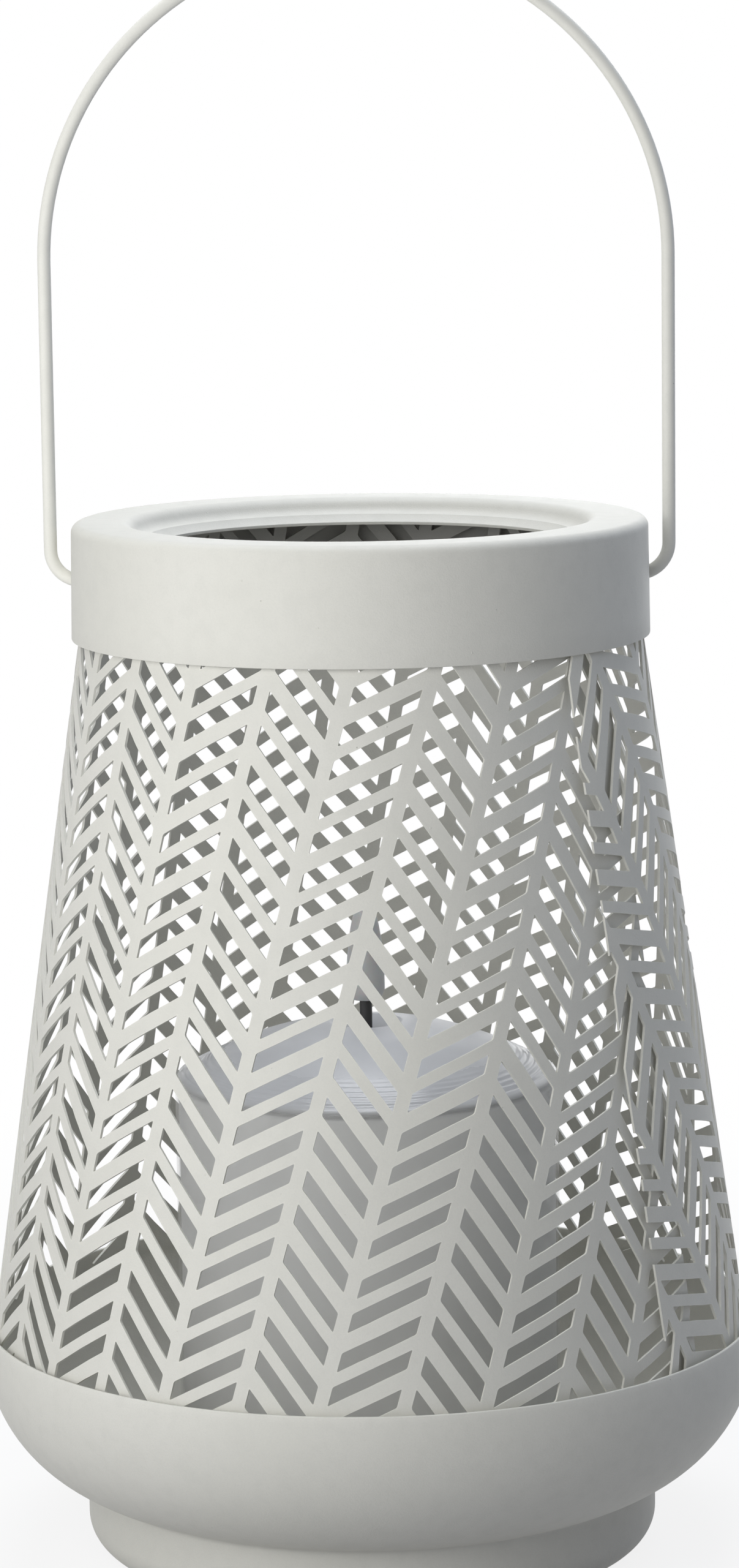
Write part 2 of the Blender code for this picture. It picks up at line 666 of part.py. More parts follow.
def make_battery_holder(finish):
    profile = [(0.0, HAT_TOP), (HAT_RADIUS, HAT_TOP), (HAT_RADIUS, LUG_LOW),
               (HAT_RADIUS - HOLDER_WALL, LUG_LOW), (HAT_RADIUS - HOLDER_WALL, CELL_LOW), (0.0, CELL_LOW)]
    holder = turned("battery_holder", profile, finish, SMALL_STEPS)
    tower = stadium("holder_tower", BORE_RADIUS + HOLDER_WALL, CELL_X, CELL_LOW + GAP, HOLDER_TOP, CUTTERS)
    join(holder, tower)
    for side in (-1, 1):
        bore = cylinder("cell_bore_%+d" % side, BORE_RADIUS, 0.0, CUT_THROUGH * HOLDER_TOP,
                        at=(side * CELL_X, 0.0), group=CUTTERS)
        cut(holder, bore)
        pilot = cylinder("pilot_%+d" % side, SCREW_RADIUS + GAP, HOLDER_TOP - SCREW_LENGTH - GAP,
                         CUT_THROUGH * HOLDER_TOP, steps=TINY_STEPS,
                         at=(0.0, 0.5 * side * SCREW_SPACING), group=CUTTERS)
        cut(holder, pilot)
    return holder


def make_cell(name, x, nub_up, finish):
    """An AA cell: a can with a nub at its positive end."""
    if nub_up:
        profile = [(0.0, CELL_TOP), (NUB_RADIUS, CELL_TOP), (NUB_RADIUS, CELL_TOP - NUB_HEIGHT),
                   (CELL_RADIUS, CELL_TOP - NUB_HEIGHT), (CELL_RADIUS, CELL_LOW), (0.0, CELL_LOW)]
    else:
        profile = [(0.0, CELL_TOP), (CELL_RADIUS, CELL_TOP), (CELL_RADIUS, CELL_LOW + NUB_HEIGHT),
                   (NUB_RADIUS, CELL_LOW + NUB_HEIGHT), (NUB_RADIUS, CELL_LOW), (0.0, CELL_LOW)]
    cell = turned(name, profile, finish, SMALL_STEPS)
    cell.location = (x, 0.0, 0.0)
    return cell


def make_contact_spring(finish):
    """A tapered coil under the board, over the flat end of the second cell."""
    low = CELL_TOP + GAP + 0.5 * SPRING_WIRE
    high = HOLDER_TOP - 0.5 * SPRING_WIRE
    points = []
    count = SPRING_TURNS * SPRING_TURN_STEPS
    for i in range(count + 1):
        t = i / count
        angle = 2.0 * math.pi * SPRING_TURNS * t
        radius = SPRING_RADIUS * (SPRING_TAPER + (1.0 - SPRING_TAPER) * t)
        points.append((CELL_X + radius * math.cos(angle), radius * math.sin(angle), low + (high - low) * t))
    return wire("contact_spring", points, 0.5 * SPRING_WIRE, finish, sides=1)


def make_contact_plate(finish):
    """A bent strip: a flat pad over the first cell's nub, and a tab up to the board."""
    pad_low = CELL_TOP + GAP
    pad_size = (CONTACT_SIZE, CONTACT_SIZE, CONTACT_SHEET)
    pad = box("contact_plate", pad_size, (-CELL_X, 0.0, pad_low + 0.5 * CONTACT_SHEET), finish)
    tab_low = pad_low + 0.5 * CONTACT_SHEET
    tab_x = -CELL_X + 0.5 * CONTACT_SIZE - CONTACT_SHEET
    tab_size = (CONTACT_SHEET, CONTACT_TAB, HOLDER_TOP - tab_low)
    tab = box("contact_tab", tab_size, (tab_x, 0.0, 0.5 * (HOLDER_TOP + tab_low)), group=CUTTERS)
    join(pad, tab)
    return pad


# Battery cover, turned by a coin
def make_battery_cover(finish):
    profile = [(0.0, BRIDGE_LOW - GAP), (COVER_BOSS, BRIDGE_LOW - GAP), (COVER_BOSS, BASE_TOP),
               (COVER_RADIUS, BASE_TOP), (COVER_RADIUS, BASE_LOW), (0.0, BASE_LOW)]
    cover = turned("battery_cover", profile, finish, SMALL_STEPS)
    lug_ring = cylinder("lug_ring", LUG_RADIUS, LUG_LOW, LUG_LOW + LUG_HEIGHT, group=CUTTERS)
    lug_bar_size = (2.0 * CUT_THROUGH * LUG_RADIUS, LUG_WIDTH, 2.0 * CUT_THROUGH * LUG_HEIGHT)
    lug_bar = box("lug_bar", lug_bar_size, (0.0, 0.0, LUG_LOW), group=CUTTERS)
    combine(lug_ring, lug_bar, "INTERSECT")
    neck = cylinder("lug_neck", COVER_RADIUS - GAP, BASE_TOP - GAP, LUG_LOW + GAP, group=CUTTERS)
    join(neck, lug_ring)
    join(cover, neck)
    coin_size = (COIN_SLOT[0], COIN_SLOT[1], 2.0 * COIN_SLOT[2])
    coin = box("coin_slot", coin_size, (0.0, 0.0, BASE_LOW), group=CUTTERS)
    cut(cover, coin)
    bridge = cylinder("contact_bridge", CELL_X + NUB_RADIUS + GAP, BRIDGE_LOW, BRIDGE_LOW + CONTACT_SHEET,
                      STEEL, steps=SMALL_STEPS)
    hang_from(pivot("cover_pivot", (0.0, 0.0, BASE_LOW)), cover, bridge)
    return cover


# Switch
def make_switch(body_finish, knob_finish):
    centre_z = BASE_TOP + GAP + 0.5 * SWITCH_SIZE[2]
    body = box("switch_body", SWITCH_SIZE, (0.0, SWITCH_RADIUS, centre_z), body_finish)
    track_size = (*knob_track(), 2.0 * (KNOB_DEPTH + GAP))
    track = box("switch_track", track_size, (0.0, SWITCH_RADIUS, BASE_TOP + GAP), group=CUTTERS)
    cut(body, track)
    knob_low = BASE_LOW + GAP
    knob_top = BASE_TOP + GAP + KNOB_DEPTH
    knob_size = (KNOB_SIZE[0], KNOB_SIZE[1], knob_top - knob_low)
    knob = box("switch_knob", knob_size, (0.0, SWITCH_RADIUS, 0.5 * (knob_low + knob_top)), knob_finish)
    return body, knob


# Circuit board, its screws and the wires
def make_board(board_finish, screw_finish):
    board = cylinder("circuit_board", BOARD_RADIUS, BOARD_LOW, BOARD_TOP, board_finish)
    for number, side in enumerate((-1, 1), start=1):
        place = (0.0, 0.5 * side * SCREW_SPACING)
        hole = cylinder("board_hole_%d" % number, SCREW_RADIUS + GAP, 0.0, CUT_THROUGH * BOARD_TOP,
                        steps=TINY_STEPS, at=place, group=CUTTERS)
        cut(board, hole)
        head_low = BOARD_TOP + GAP
        head_top = head_low + SCREW_HEAD_HEIGHT
        tip = HOLDER_TOP - SCREW_LENGTH
        profile = [(0.0, head_top), (SCREW_CROWN, head_top), (SCREW_HEAD, head_low),
                   (SCREW_RADIUS, head_low), (SCREW_RADIUS, tip + SCREW_RADIUS), (0.0, tip)]
        screw = turned("board_screw_%d" % number, profile, screw_finish, TINY_STEPS)
        screw.location = (*place, 0.0)
    return board


def smooth_route(a, b, c, d, count):
    """Points on a cubic Bezier from a to d."""
    points = []
    for i in range(count + 1):
        t = i / count
        s = 1.0 - t
        points.append(a * s**3 + b * 3.0 * s * s * t + c * 3.0 * s * t * t + d * t**3)
    return points


def make_wires(finishes):
    for number, side in enumerate((-1, 1), start=1):
        x = 0.5 * side * WIRE_SPACING
        leg_end = Vector((side * 2.0 * LEG_RADIUS, 0.0, LED_LOW - LEG_LENGTH - GAP))
        start = Vector((x, 0.0, BOARD_TOP + GAP))
        rise = Vector((0.0, 0.0, WIRE_BOW * (leg_end.z - start.z)))
        spread = Vector((side * WIRE_RADIUS, 0.0, 0.0))
        route = smooth_route(start, start + rise, leg_end + spread - rise, leg_end + spread, 7)
        wire("led_wire_%d" % number, route, WIRE_RADIUS, finishes[number - 1])
        start = Vector((x, SWITCH_RADIUS, BASE_TOP + SWITCH_SIZE[2] + 2.0 * GAP))
        end = Vector((x, BOARD_RADIUS - WIRE_INSET, HOLDER_TOP))
        rise = Vector((0.0, 0.0, WIRE_BOW * (end.z - start.z)))
        route = smooth_route(start, start + rise, end - rise, end, 8)
        wire("switch_wire_%d" % number, route, WIRE_RADIUS, finishes[number - 1])


# Wick, light and flame
def make_wick(finish):
    profile = [(STEM_BORE, STEM_TOP), (STEM_RADIUS, STEM_TOP), (STEM_RADIUS, STEM_LOW), (STEM_BORE, STEM_LOW)]
    return turned("wick_stem", profile, finish, TINY_STEPS, closed=True)


def make_led(finish):
    """A small round light with its two legs down through the wick."""
    dome = (0.0, LED_LOW + LED_HEIGHT - LED_RADIUS)
    profile = arc(dome, LED_RADIUS, 0.5 * math.pi, 0.0, 3) + [(LED_RADIUS, LED_LOW), (0.0, LED_LOW)]
    led = turned("led", profile, finish, TINY_STEPS)
    for side in (-1, 1):
        leg = cylinder("led_leg_%+d" % side, LEG_RADIUS, LED_LOW - LEG_LENGTH, LED_LOW + LED_RADIUS,
                       steps=LEG_STEPS, at=(side * 2.0 * LEG_RADIUS, 0.0), group=CUTTERS)
        join(led, leg)
    return led


def flame_radius(t):
    """Radius of the flame at a share t of its height."""
    if t < FLAME_WIDEST:
        u = t / FLAME_WIDEST
        return FLAME_RADIUS * (FLAME_FOOT + (1.0 - FLAME_FOOT) * math.sin(0.5 * math.pi * u))
    u = (t - FLAME_WIDEST) / (1.0 - FLAME_WIDEST)
    return FLAME_RADIUS * math.sqrt(1.0 - u * u)


def make_flame(finish):
    """A hollow round-topped flame, open below where it slips over the light."""
    profile = []
    count = 7
    for i in range(count + 1):
        t = 1.0 - i / count
        radius = 0.0 if i == 0 else flame_radius(t)
        profile.append((radius, FLAME_LOW + FLAME_HEIGHT * t))
    count = 4
    for i in range(count + 1):
        t = i / count
        wall = FLAME_WALL * (1.0 + FLAME_THICKER * t)
        radius = 0.0 if i == count else flame_radius(t * FLAME_HOLLOW) - wall
        profile.append((radius, FLAME_LOW + FLAME_HEIGHT * FLAME_HOLLOW * t))
    return turned("flame", profile, finish, TINY_STEPS)


clear_scene()
PARTS = new_collection("table_lantern")
CUTTERS = new_collection("cutters")
COAT = material("powder_coat", (0.66, 0.66, 0.63), 0.62)
CLEAR = material("clear_plastic", (0.80, 0.82, 0.85), 0.12, alpha=0.45)
FROST = material("frosted_plastic", (0.80, 0.80, 0.79), 0.55)
GLOW = material("flame_plastic", (0.55, 0.56, 0.56), 0.40)
BLACK = material("black_plastic", (0.02, 0.02, 0.02), 0.45)
PALE = material("pale_plastic", (0.70, 0.69, 0.66), 0.50)
STEEL = material("plated_steel", (0.62, 0.62, 0.60), 0.30, metallic=1.0)
CELL = material("cell_jacket", (0.16, 0.17, 0.19), 0.35, metallic=0.4)
BOARD = material("board_laminate", (0.05, 0.22, 0.11), 0.50)
RED = material("red_insulation", (0.50, 0.03, 0.03), 0.50)
LENS = material("led_lens", (0.85, 0.78, 0.55), 0.15)

make_bowl(COAT)
make_collar(COAT)
make_shade(COAT)
make_bail(COAT)
make_candle_shell(CLEAR)
make_candle_core(FROST)
make_candle_base(PALE)
make_battery_holder(PALE)
make_cell("battery_1", -CELL_X, True, CELL)
make_cell("battery_2", CELL_X, False, CELL)
make_contact_spring(STEEL)
make_contact_plate(STEEL)
make_battery_cover(PALE)
make_switch(BLACK, PALE)
make_board(BOARD, STEEL)
make_wires((RED, BLACK))
make_wick(BLACK)
make_led(LENS)
make_flame(GLOW)
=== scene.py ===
# %% [markdown]
# # A sheet-steel lantern that serves as a table lamp
#
# Thin steel sheet is punched with slanting slots, rolled into a cone and held between a spun bowl and a
# pressed collar. A wire bail swings on the collar, and a battery candle stands inside. The measured solids
# come in first as a fixed frame, so every piece below is made in its final place and nothing is fitted by
# eye afterwards.

# %% Load the measured frame
import json
import math

import bmesh
import bpy
from mathutils import Matrix, Vector


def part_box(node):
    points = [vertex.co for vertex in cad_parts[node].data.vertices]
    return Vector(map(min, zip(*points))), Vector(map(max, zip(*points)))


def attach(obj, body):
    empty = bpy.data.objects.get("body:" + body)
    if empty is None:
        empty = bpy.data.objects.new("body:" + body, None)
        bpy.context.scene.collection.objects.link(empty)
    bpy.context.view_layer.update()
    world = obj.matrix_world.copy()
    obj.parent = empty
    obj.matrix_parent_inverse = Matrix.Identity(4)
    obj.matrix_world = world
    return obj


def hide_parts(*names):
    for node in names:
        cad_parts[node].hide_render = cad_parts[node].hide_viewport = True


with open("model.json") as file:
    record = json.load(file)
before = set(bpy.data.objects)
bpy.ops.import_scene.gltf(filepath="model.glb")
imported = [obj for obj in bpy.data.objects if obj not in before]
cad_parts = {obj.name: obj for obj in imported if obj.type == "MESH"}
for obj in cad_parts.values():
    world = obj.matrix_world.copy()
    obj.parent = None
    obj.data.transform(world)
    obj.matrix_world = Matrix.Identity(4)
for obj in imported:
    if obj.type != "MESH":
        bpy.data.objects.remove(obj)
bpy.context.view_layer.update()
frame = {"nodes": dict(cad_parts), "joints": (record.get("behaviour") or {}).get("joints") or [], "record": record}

MM = 0.001

# %% [markdown]
# ## The camera
#
# The photograph is taken from the front with a long lens, from a little above the collar, and the bail's
# arch just leaves the frame. A camera is often placed by eye until the picture looks right. Here its place
# comes from a fit of the collar, the rims and the shade's sides, which fixes how the back of the lattice
# shows through the front.

# %% Camera
PHOTO_LONG_SIDE = 2560.0
LENS_IN_PIXELS = 7566.0
SENSOR = 36.0
CAMERA_PLACE = Vector((0.0, -876.2 * MM, 281.4 * MM))
LOOK_DOWN = math.radians(8.647)
LOOK_ASIDE = math.radians(0.082)
CAMERA_ROLL = math.radians(-0.743)


def make_camera():
    data = bpy.data.cameras.new("photograph")
    data.sensor_width = SENSOR
    data.lens = LENS_IN_PIXELS / PHOTO_LONG_SIDE * SENSOR
    camera = bpy.data.objects.new("photograph", data)
    bpy.context.scene.collection.objects.link(camera)
    level = math.cos(LOOK_DOWN)
    look = Vector((math.sin(LOOK_ASIDE) * level, math.cos(LOOK_ASIDE) * level, -math.sin(LOOK_DOWN)))
    turn = look.to_track_quat("-Z", "Y").to_matrix() @ Matrix.Rotation(CAMERA_ROLL, 3, "Z")
    camera.matrix_world = Matrix.Translation(CAMERA_PLACE) @ turn.to_4x4()
    return camera


bpy.context.scene.camera = make_camera()
bpy.context.scene.view_settings.view_transform = "Standard"
print("lens in mm:", round(bpy.context.scene.camera.data.lens, 1))

# %% [markdown]
# ## Node sums written as Python
#
# A finish is a tree of nodes, and wiring it by hand hides the idea in dozens of lines. The class below
# wraps one output socket, so that a line such as `1 - mask * 0.3` adds its Math nodes by itself. Any other
# node comes from one method. The same two classes serve materials, the world and Geometry Nodes, because
# all of them are node trees.

# %% Sockets that can be added and multiplied


class Signal:
    """A node's output socket that takes part in Python sums."""

    def __init__(self, board, socket):
        self.board = board
        self.socket = socket

    def output(self, name):
        """Another output of the same node."""
        return Signal(self.board, self.socket.node.outputs[name])

    def __add__(self, other):
        return self.board.math("ADD", self, other)

    def __radd__(self, other):
        return self.board.math("ADD", other, self)

    def __sub__(self, other):
        return self.board.math("SUBTRACT", self, other)

    def __rsub__(self, other):
        return self.board.math("SUBTRACT", other, self)

    def __mul__(self, other):
        return self.board.math("MULTIPLY", self, other)

    def __rmul__(self, other):
        return self.board.math("MULTIPLY", other, self)

    def __truediv__(self, other):
        return self.board.math("DIVIDE", self, other)

    def __rtruediv__(self, other):
        return self.board.math("DIVIDE", other, self)

    def __pow__(self, other):
        return self.board.math("POWER", self, other)

    def __gt__(self, other):
        return self.board.math("GREATER_THAN", self, other)

    def __lt__(self, other):
        return self.board.math("LESS_THAN", self, other)


class NodeBoard:
    """A node tree, with one method that adds any node to it."""

    def __init__(self, tree):
        self.tree = tree

    def node(self, kind, settings=None, sockets=None, output=0):
        made = self.tree.nodes.new(kind)
        for name, value in (settings or {}).items():
            setattr(made, name, value)
        for name, value in (sockets or {}).items():
            self.feed(value, made.inputs[name])
        return Signal(self, made.outputs[output])

    def feed(self, value, target):
        """Link a signal to a socket, or set the socket's own value."""
        if isinstance(value, Signal):
            self.tree.links.new(value.socket, target)
        else:
            target.default_value = value

    def math(self, operation, first, second=0.0):
        return self.node("ShaderNodeMath", {"operation": operation}, {0: first, 1: second})

    def mix(self, share, first, second):
        """A colour between two colours. Sockets 6 and 7 and output 2 are the node's colour ones."""
        return self.node("ShaderNodeMix", {"data_type": "RGBA"}, {0: share, 6: first, 7: second}, output=2)

    def ease(self, value, low, high):
        """0 below low, 1 above high, with a soft step between."""
        settings = {"interpolation_type": "SMOOTHSTEP"}
        return self.node("ShaderNodeMapRange", settings, {"Value": value, "From Min": low, "From Max": high})


print("node helpers ready")

# %% [markdown]
# ## Floor, backdrop and light
#
# The photograph is a plain studio shot on white. A brighter lamp could burn the floor to white, but it
# would burn the paint as well. So the world and the floor answer the camera's rays with plain white, and
# all other rays with a cool grey. Only close to the lantern does the floor keep some matte paper in the
# mix, which holds the shadow. The main lamp is a soft window at the left front, near enough that the bowl
# gets less of it than the collar. A low lamp fills the foot's left side, one above lights the flange, and a
# faint bluish one keeps the right edge from going flat. A last weak lamp stands behind, for views from
# there.

# %% World and floor
WHITE = (1.0, 1.0, 1.0, 1.0)
AROUND_COLOUR = (0.93, 0.98, 1.10, 1.0)
AROUND_LIGHT = 0.17
# The paper close to the lantern is a darker grey for bounced light than farther out, a painted shade that dims the
# light the floor throws back onto the bowl.
FLOOR_NEAR_PAINTED_SHADE = (0.45, 0.45, 0.465, 1.0)
FLOOR_FAR = (0.58, 0.58, 0.60, 1.0)
PAPER_WHITE = (0.86, 0.86, 0.86, 1.0)
FLOOR_GLOW = 0.84
SHADOW_NEAR = 0.10
SHADOW_FAR = 0.42
FLOOR_REACH = 30.0


def seen_directly(board):
    """1 for rays from the camera, a mirror or a clear piece, 0 for light on its way to a matte surface."""
    path = board.node("ShaderNodeLightPath", output="Is Camera Ray")
    mirrored = board.math("MAXIMUM", path, path.output("Is Glossy Ray"))
    return board.math("MAXIMUM", mirrored, path.output("Is Transmission Ray"))


def make_world():
    world = bpy.data.worlds.new("white studio")
    world.use_nodes = True
    bpy.context.scene.world = world
    board = NodeBoard(world.node_tree)
    background = world.node_tree.nodes["Background"]
    seen = seen_directly(board)
    board.feed(board.mix(seen, AROUND_COLOUR, WHITE), background.inputs["Color"])
    board.feed(AROUND_LIGHT + seen * (1.0 - AROUND_LIGHT), background.inputs["Strength"])


def make_floor():
    bm = bmesh.new()
    bmesh.ops.create_grid(bm, x_segments=1, y_segments=1, size=FLOOR_REACH)
    mesh = bpy.data.meshes.new("floor")
    bm.to_mesh(mesh)
    bm.free()
    floor = bpy.data.objects.new("floor", mesh)
    bpy.context.scene.collection.objects.link(floor)
    paper = bpy.data.materials.new("white paper")
    paper.use_nodes = True
    board = NodeBoard(paper.node_tree)
    shader = paper.node_tree.nodes["Principled BSDF"]
    shader.inputs["Roughness"].default_value = 1.0
    shader.inputs["Specular IOR Level"].default_value = 0.0
    seen = seen_directly(board)
    place = board.node("ShaderNodeTexCoord", output="Object")
    distance = board.node("ShaderNodeVectorMath", {"operation": "LENGTH"}, {0: place}, output="Value")
    away = board.ease(distance, SHADOW_NEAR, SHADOW_FAR)
    # Painted shade: darker paper near the lantern, seen only by bounced light.
    grey = board.mix(away, FLOOR_NEAR_PAINTED_SHADE, FLOOR_FAR)
    board.feed(board.mix(seen, grey, PAPER_WHITE), shader.inputs["Base Color"])
    share = seen * (FLOOR_GLOW + away * (1.0 - FLOOR_GLOW))
    glow = board.node("ShaderNodeEmission", {}, {"Color": WHITE, "Strength": 1.0})
    matte = Signal(board, shader.outputs["BSDF"])
    paper_mix = board.node("ShaderNodeMixShader", {}, {0: share, 1: matte, 2: glow})
    board.feed(paper_mix, paper.node_tree.nodes["Material Output"].inputs["Surface"])
    mesh.materials.append(paper)


make_world()
make_floor()
print("world and floor ready")

# %% Lamps
COOL = (0.965, 0.99, 1.04)
BLUISH = (0.82, 0.97, 1.28)


def make_lamp(name, aim, direction, height, distance, size, level, tint=(1.0, 1.0, 1.0)):
    """A square soft lamp aimed at a point on the axis.

    Direction and height are in degrees, and direction 0 is the front and 90 the right.
    Level is the brightness that the lamp gives to a white card there.
    """
    data = bpy.data.lights.new(name, "AREA")
    data.size = size
    data.color = tint
    data.energy = level * math.pi * math.pi * distance * distance
    lamp = bpy.data.objects.new(name, data)
    bpy.context.scene.collection.objects.link(lamp)
    turn = math.radians(direction)
    rise = math.radians(height)
    towards = Vector((math.sin(turn) * math.cos(rise), -math.cos(turn) * math.cos(rise), math.sin(rise)))
    facing = (-towards).to_track_quat("-Z", "Y").to_matrix().to_4x4()
    lamp.matrix_world = Matrix.Translation(Vector((0.0, 0.0, aim)) + towards * distance) @ facing
    lamp.visible_camera = False


make_lamp("window", aim=230 * MM, direction=-26.0, height=5.0, distance=0.36, size=0.30, level=0.63)
make_lamp("low", aim=60 * MM, direction=-60.0, height=5.0, distance=0.60, size=0.40, level=0.345)
make_lamp("ceiling", aim=200 * MM, direction=180.0, height=75.0, distance=0.60, size=0.50, level=0.92,
          tint=COOL)
make_lamp("rim", aim=250 * MM, direction=105.0, height=25.0, distance=0.45, size=0.35, level=0.16,
          tint=BLUISH)
make_lamp("back", aim=150 * MM, direction=165.0, height=12.0, distance=0.90, size=0.60, level=0.24)

# %% [markdown]
# ## Finishes
#
# A finish needs more than a colour: small changes of tone, of gloss and of height tell the eye what a thing
# is made of. Every pattern below reads Object coordinates, which are the lantern's own millimetres, so a
# grain of half a millimetre is half a millimetre on every piece and stays put in every view.

# %% A helper for finishes


def colour(red, green, blue):
    return (red, green, blue, 1.0)


class Finish(NodeBoard):
    """A material whose patterns are laid out in the lantern's own millimetres."""

    def __init__(self, name, constants=None):
        self.material = bpy.data.materials.new(name)
        self.material.use_nodes = True
        super().__init__(self.material.node_tree)
        self.shader = self.tree.nodes["Principled BSDF"]
        for socket, value in (constants or {}).items():
            self.shader.inputs[socket].default_value = value
        place = self.node("ShaderNodeTexCoord", output="Object")
        scale = {"operation": "SCALE"}
        self.place = self.node("ShaderNodeVectorMath", scale, {0: place, "Scale": 1.0 / MM})

    def height(self):
        """Millimetres above the surface that the lantern stands on."""
        return self.node("ShaderNodeSeparateXYZ", {}, {0: self.place}, output="Z")

    def spread(self):
        """Millimetres from the lantern's axis."""
        sockets = {0: self.place, 1: (1.0, 1.0, 0.0)}
        level = self.node("ShaderNodeVectorMath", {"operation": "MULTIPLY"}, sockets)
        return self.node("ShaderNodeVectorMath", {"operation": "LENGTH"}, {0: level}, output="Value")

    def noise(self, size, detail=2.0, stretch=None):
        """Soft noise from 0 to 1 with features about size millimetres across."""
        place = self.place
        if stretch is not None:
            place = self.node("ShaderNodeVectorMath", {"operation": "MULTIPLY"}, {0: place, 1: stretch})
        return self.node("ShaderNodeTexNoise", {}, {"Vector": place, "Scale": 1.0 / size, "Detail": detail})

    def specks(self, spacing, radius):
        """1 inside small dots scattered about spacing millimetres apart."""
        near = self.node("ShaderNodeTexVoronoi", {}, {"Vector": self.place, "Scale": 1.0 / spacing})
        return 1.0 - self.ease(near * spacing, 0.5 * radius, radius)

    def paint(self, varying):
        for socket, value in varying.items():
            self.feed(value, self.shader.inputs[socket])

    def emboss(self, pattern, depth):
        """Raise the surface by depth millimetres where the pattern is 1."""
        bump = self.node("ShaderNodeBump", {}, {"Height": pattern, "Distance": depth * MM, "Strength": 1.0})
        self.feed(bump, self.shader.inputs["Normal"])


FINISHES = {}
print("finish helper ready")

# %% [markdown]
# ### Powder coat
#
# The steel carries a baked powder paint, pale warm grey and matte. Powder melts into a skin with a fine
# orange peel, here and there a pinhole or a coarser grain. Layers of noise do this well: a wide one drifts
# the tone, a fine one makes the peel, and sparse dots make pinholes and grains. The cut edges of the slots
# get a lighter tone, a painted highlight for the light they catch. On the thin bail the powder flows
# together, so the wire is smoother than the sheet; its tone is also painted a little paler, painted light
# for the light that reaches the thin wire from all round. Up inside the collar the tone is painted much
# darker, a painted shade for the shadow there, which shows through the mouth.

# %% Powder coat
# Sizes, heights and reliefs of a finish are in millimetres.
PAINT_DARKER = (0.642, 0.634, 0.574)
PAINT_LIGHTER = (0.662, 0.653, 0.596)
PAINT_MOTTLE = (0.602, 0.597, 0.543)
PAINT_DUST = (0.567, 0.563, 0.515)
# A lighter tone for the slots' cut edges: a painted highlight where the edges catch the light.
EDGE_PAINTED_HIGHLIGHT = (0.712, 0.705, 0.638)
PINHOLE = colour(0.30, 0.29, 0.27)
# A dark tone for the sheet and the wall up inside the collar: painted shade.
COLLAR_PAINTED_SHADE = colour(0.22, 0.215, 0.20)
MOTTLE_SHARE = 0.30
DUST_SHARE = 0.22
EDGE_HIGHLIGHT_SHARE = 0.5
PINHOLE_SHARE = 0.55
COLLAR_SHADE_SHARE = 0.85
DRIFT_SIZE = 38.0
MOTTLE_SIZE = 3.2
PEEL_SIZE = 1.1
DUST_SIZE = 0.3
# Heights and distance from the axis of the painted shade inside the collar, in millimetres.
COLLAR_SHADE_FROM = 177.0
COLLAR_SHADE_FULL = 181.0
COLLAR_SHADE_FADE = 193.0
COLLAR_SHADE_END = 194.0
COLLAR_SHADE_SPREAD = 54.45
SHEET_RELIEF = 0.055
WIRE_RELIEF = 0.008
# The bail's tones are scaled up: painted light on the wire.
WIRE_PAINTED_LIGHT = 1.2


def powder_coat(name, relief, painted_light=1.0):
    coat = Finish(name)

    # Every tone is scaled up on the bail, painted light that brightens the wire.
    def tint(tone):
        return colour(*[part * painted_light for part in tone])

    drift = coat.noise(DRIFT_SIZE)
    mottle = coat.noise(MOTTLE_SIZE, detail=4.0)
    peel = coat.noise(PEEL_SIZE, detail=3.0)
    dust = coat.noise(DUST_SIZE)
    pinholes = coat.specks(spacing=7.5, radius=0.16)
    grains = coat.specks(spacing=5.0, radius=0.22)
    edge = coat.node("ShaderNodeAttribute", {"attribute_name": "slot_edge"}, output="Fac")
    height = coat.height()
    # Painted shade: the tone goes much darker up inside the collar, where little light reaches.
    tucked = coat.ease(height, COLLAR_SHADE_FROM, COLLAR_SHADE_FULL) * (1.0 - coat.ease(height, COLLAR_SHADE_FADE, COLLAR_SHADE_END))
    collar_shade_mask = tucked * (coat.spread() < COLLAR_SHADE_SPREAD)
    tone = coat.mix(coat.ease(drift, 0.3, 0.7), tint(PAINT_DARKER), tint(PAINT_LIGHTER))
    tone = coat.mix(coat.ease(mottle, 0.42, 0.72) * MOTTLE_SHARE, tone, tint(PAINT_MOTTLE))
    tone = coat.mix(coat.ease(dust, 0.40, 0.75) * DUST_SHARE, tone, tint(PAINT_DUST))
    # Painted highlight: the cut edges of the slots take the lighter tone.
    tone = coat.mix(coat.ease(edge, 0.8, 1.0) * EDGE_HIGHLIGHT_SHARE, tone, tint(EDGE_PAINTED_HIGHLIGHT))
    tone = coat.mix(pinholes * PINHOLE_SHARE, tone, PINHOLE)
    tone = coat.mix(collar_shade_mask * COLLAR_SHADE_SHARE, tone, COLLAR_PAINTED_SHADE)
    coat.paint({"Base Color": tone, "Roughness": 0.54 + mottle * 0.14})
    coat.emboss(peel * 0.5 + dust * 0.55 + grains * 0.8 - pinholes, relief)
    return coat.material


FINISHES["powder_coat"] = powder_coat("powder_coat", SHEET_RELIEF)
FINISHES["wire_coat"] = powder_coat("wire_coat", WIRE_RELIEF, WIRE_PAINTED_LIGHT)
print("finishes:", sorted(FINISHES))

# %% [markdown]
# ### Plastics of the candle
#
# The candle has a clear outer shell over a frosted core, a translucent flame and a black wick. Clear
# plastic can be traced as real glass, but light then reaches the core only by chance and the picture turns
# grainy. A thin see-through skin with a gloss of its own looks the same on a wall this thin and lets the
# light in. Its dome is moulded satin, so there the skin turns nearly opaque, and only the ridges near the
# rim stay glossy. The dome's colour is a bluish grey and the sides' a warmer one: painted light, for the
# cool light from above and the warm light thrown back by the paint.

# %% Plastics
DOME_FROM = 91.0
DOME_FULL = 93.0
RIDGES_FROM = 24.0
RIDGES_FULL = 31.0


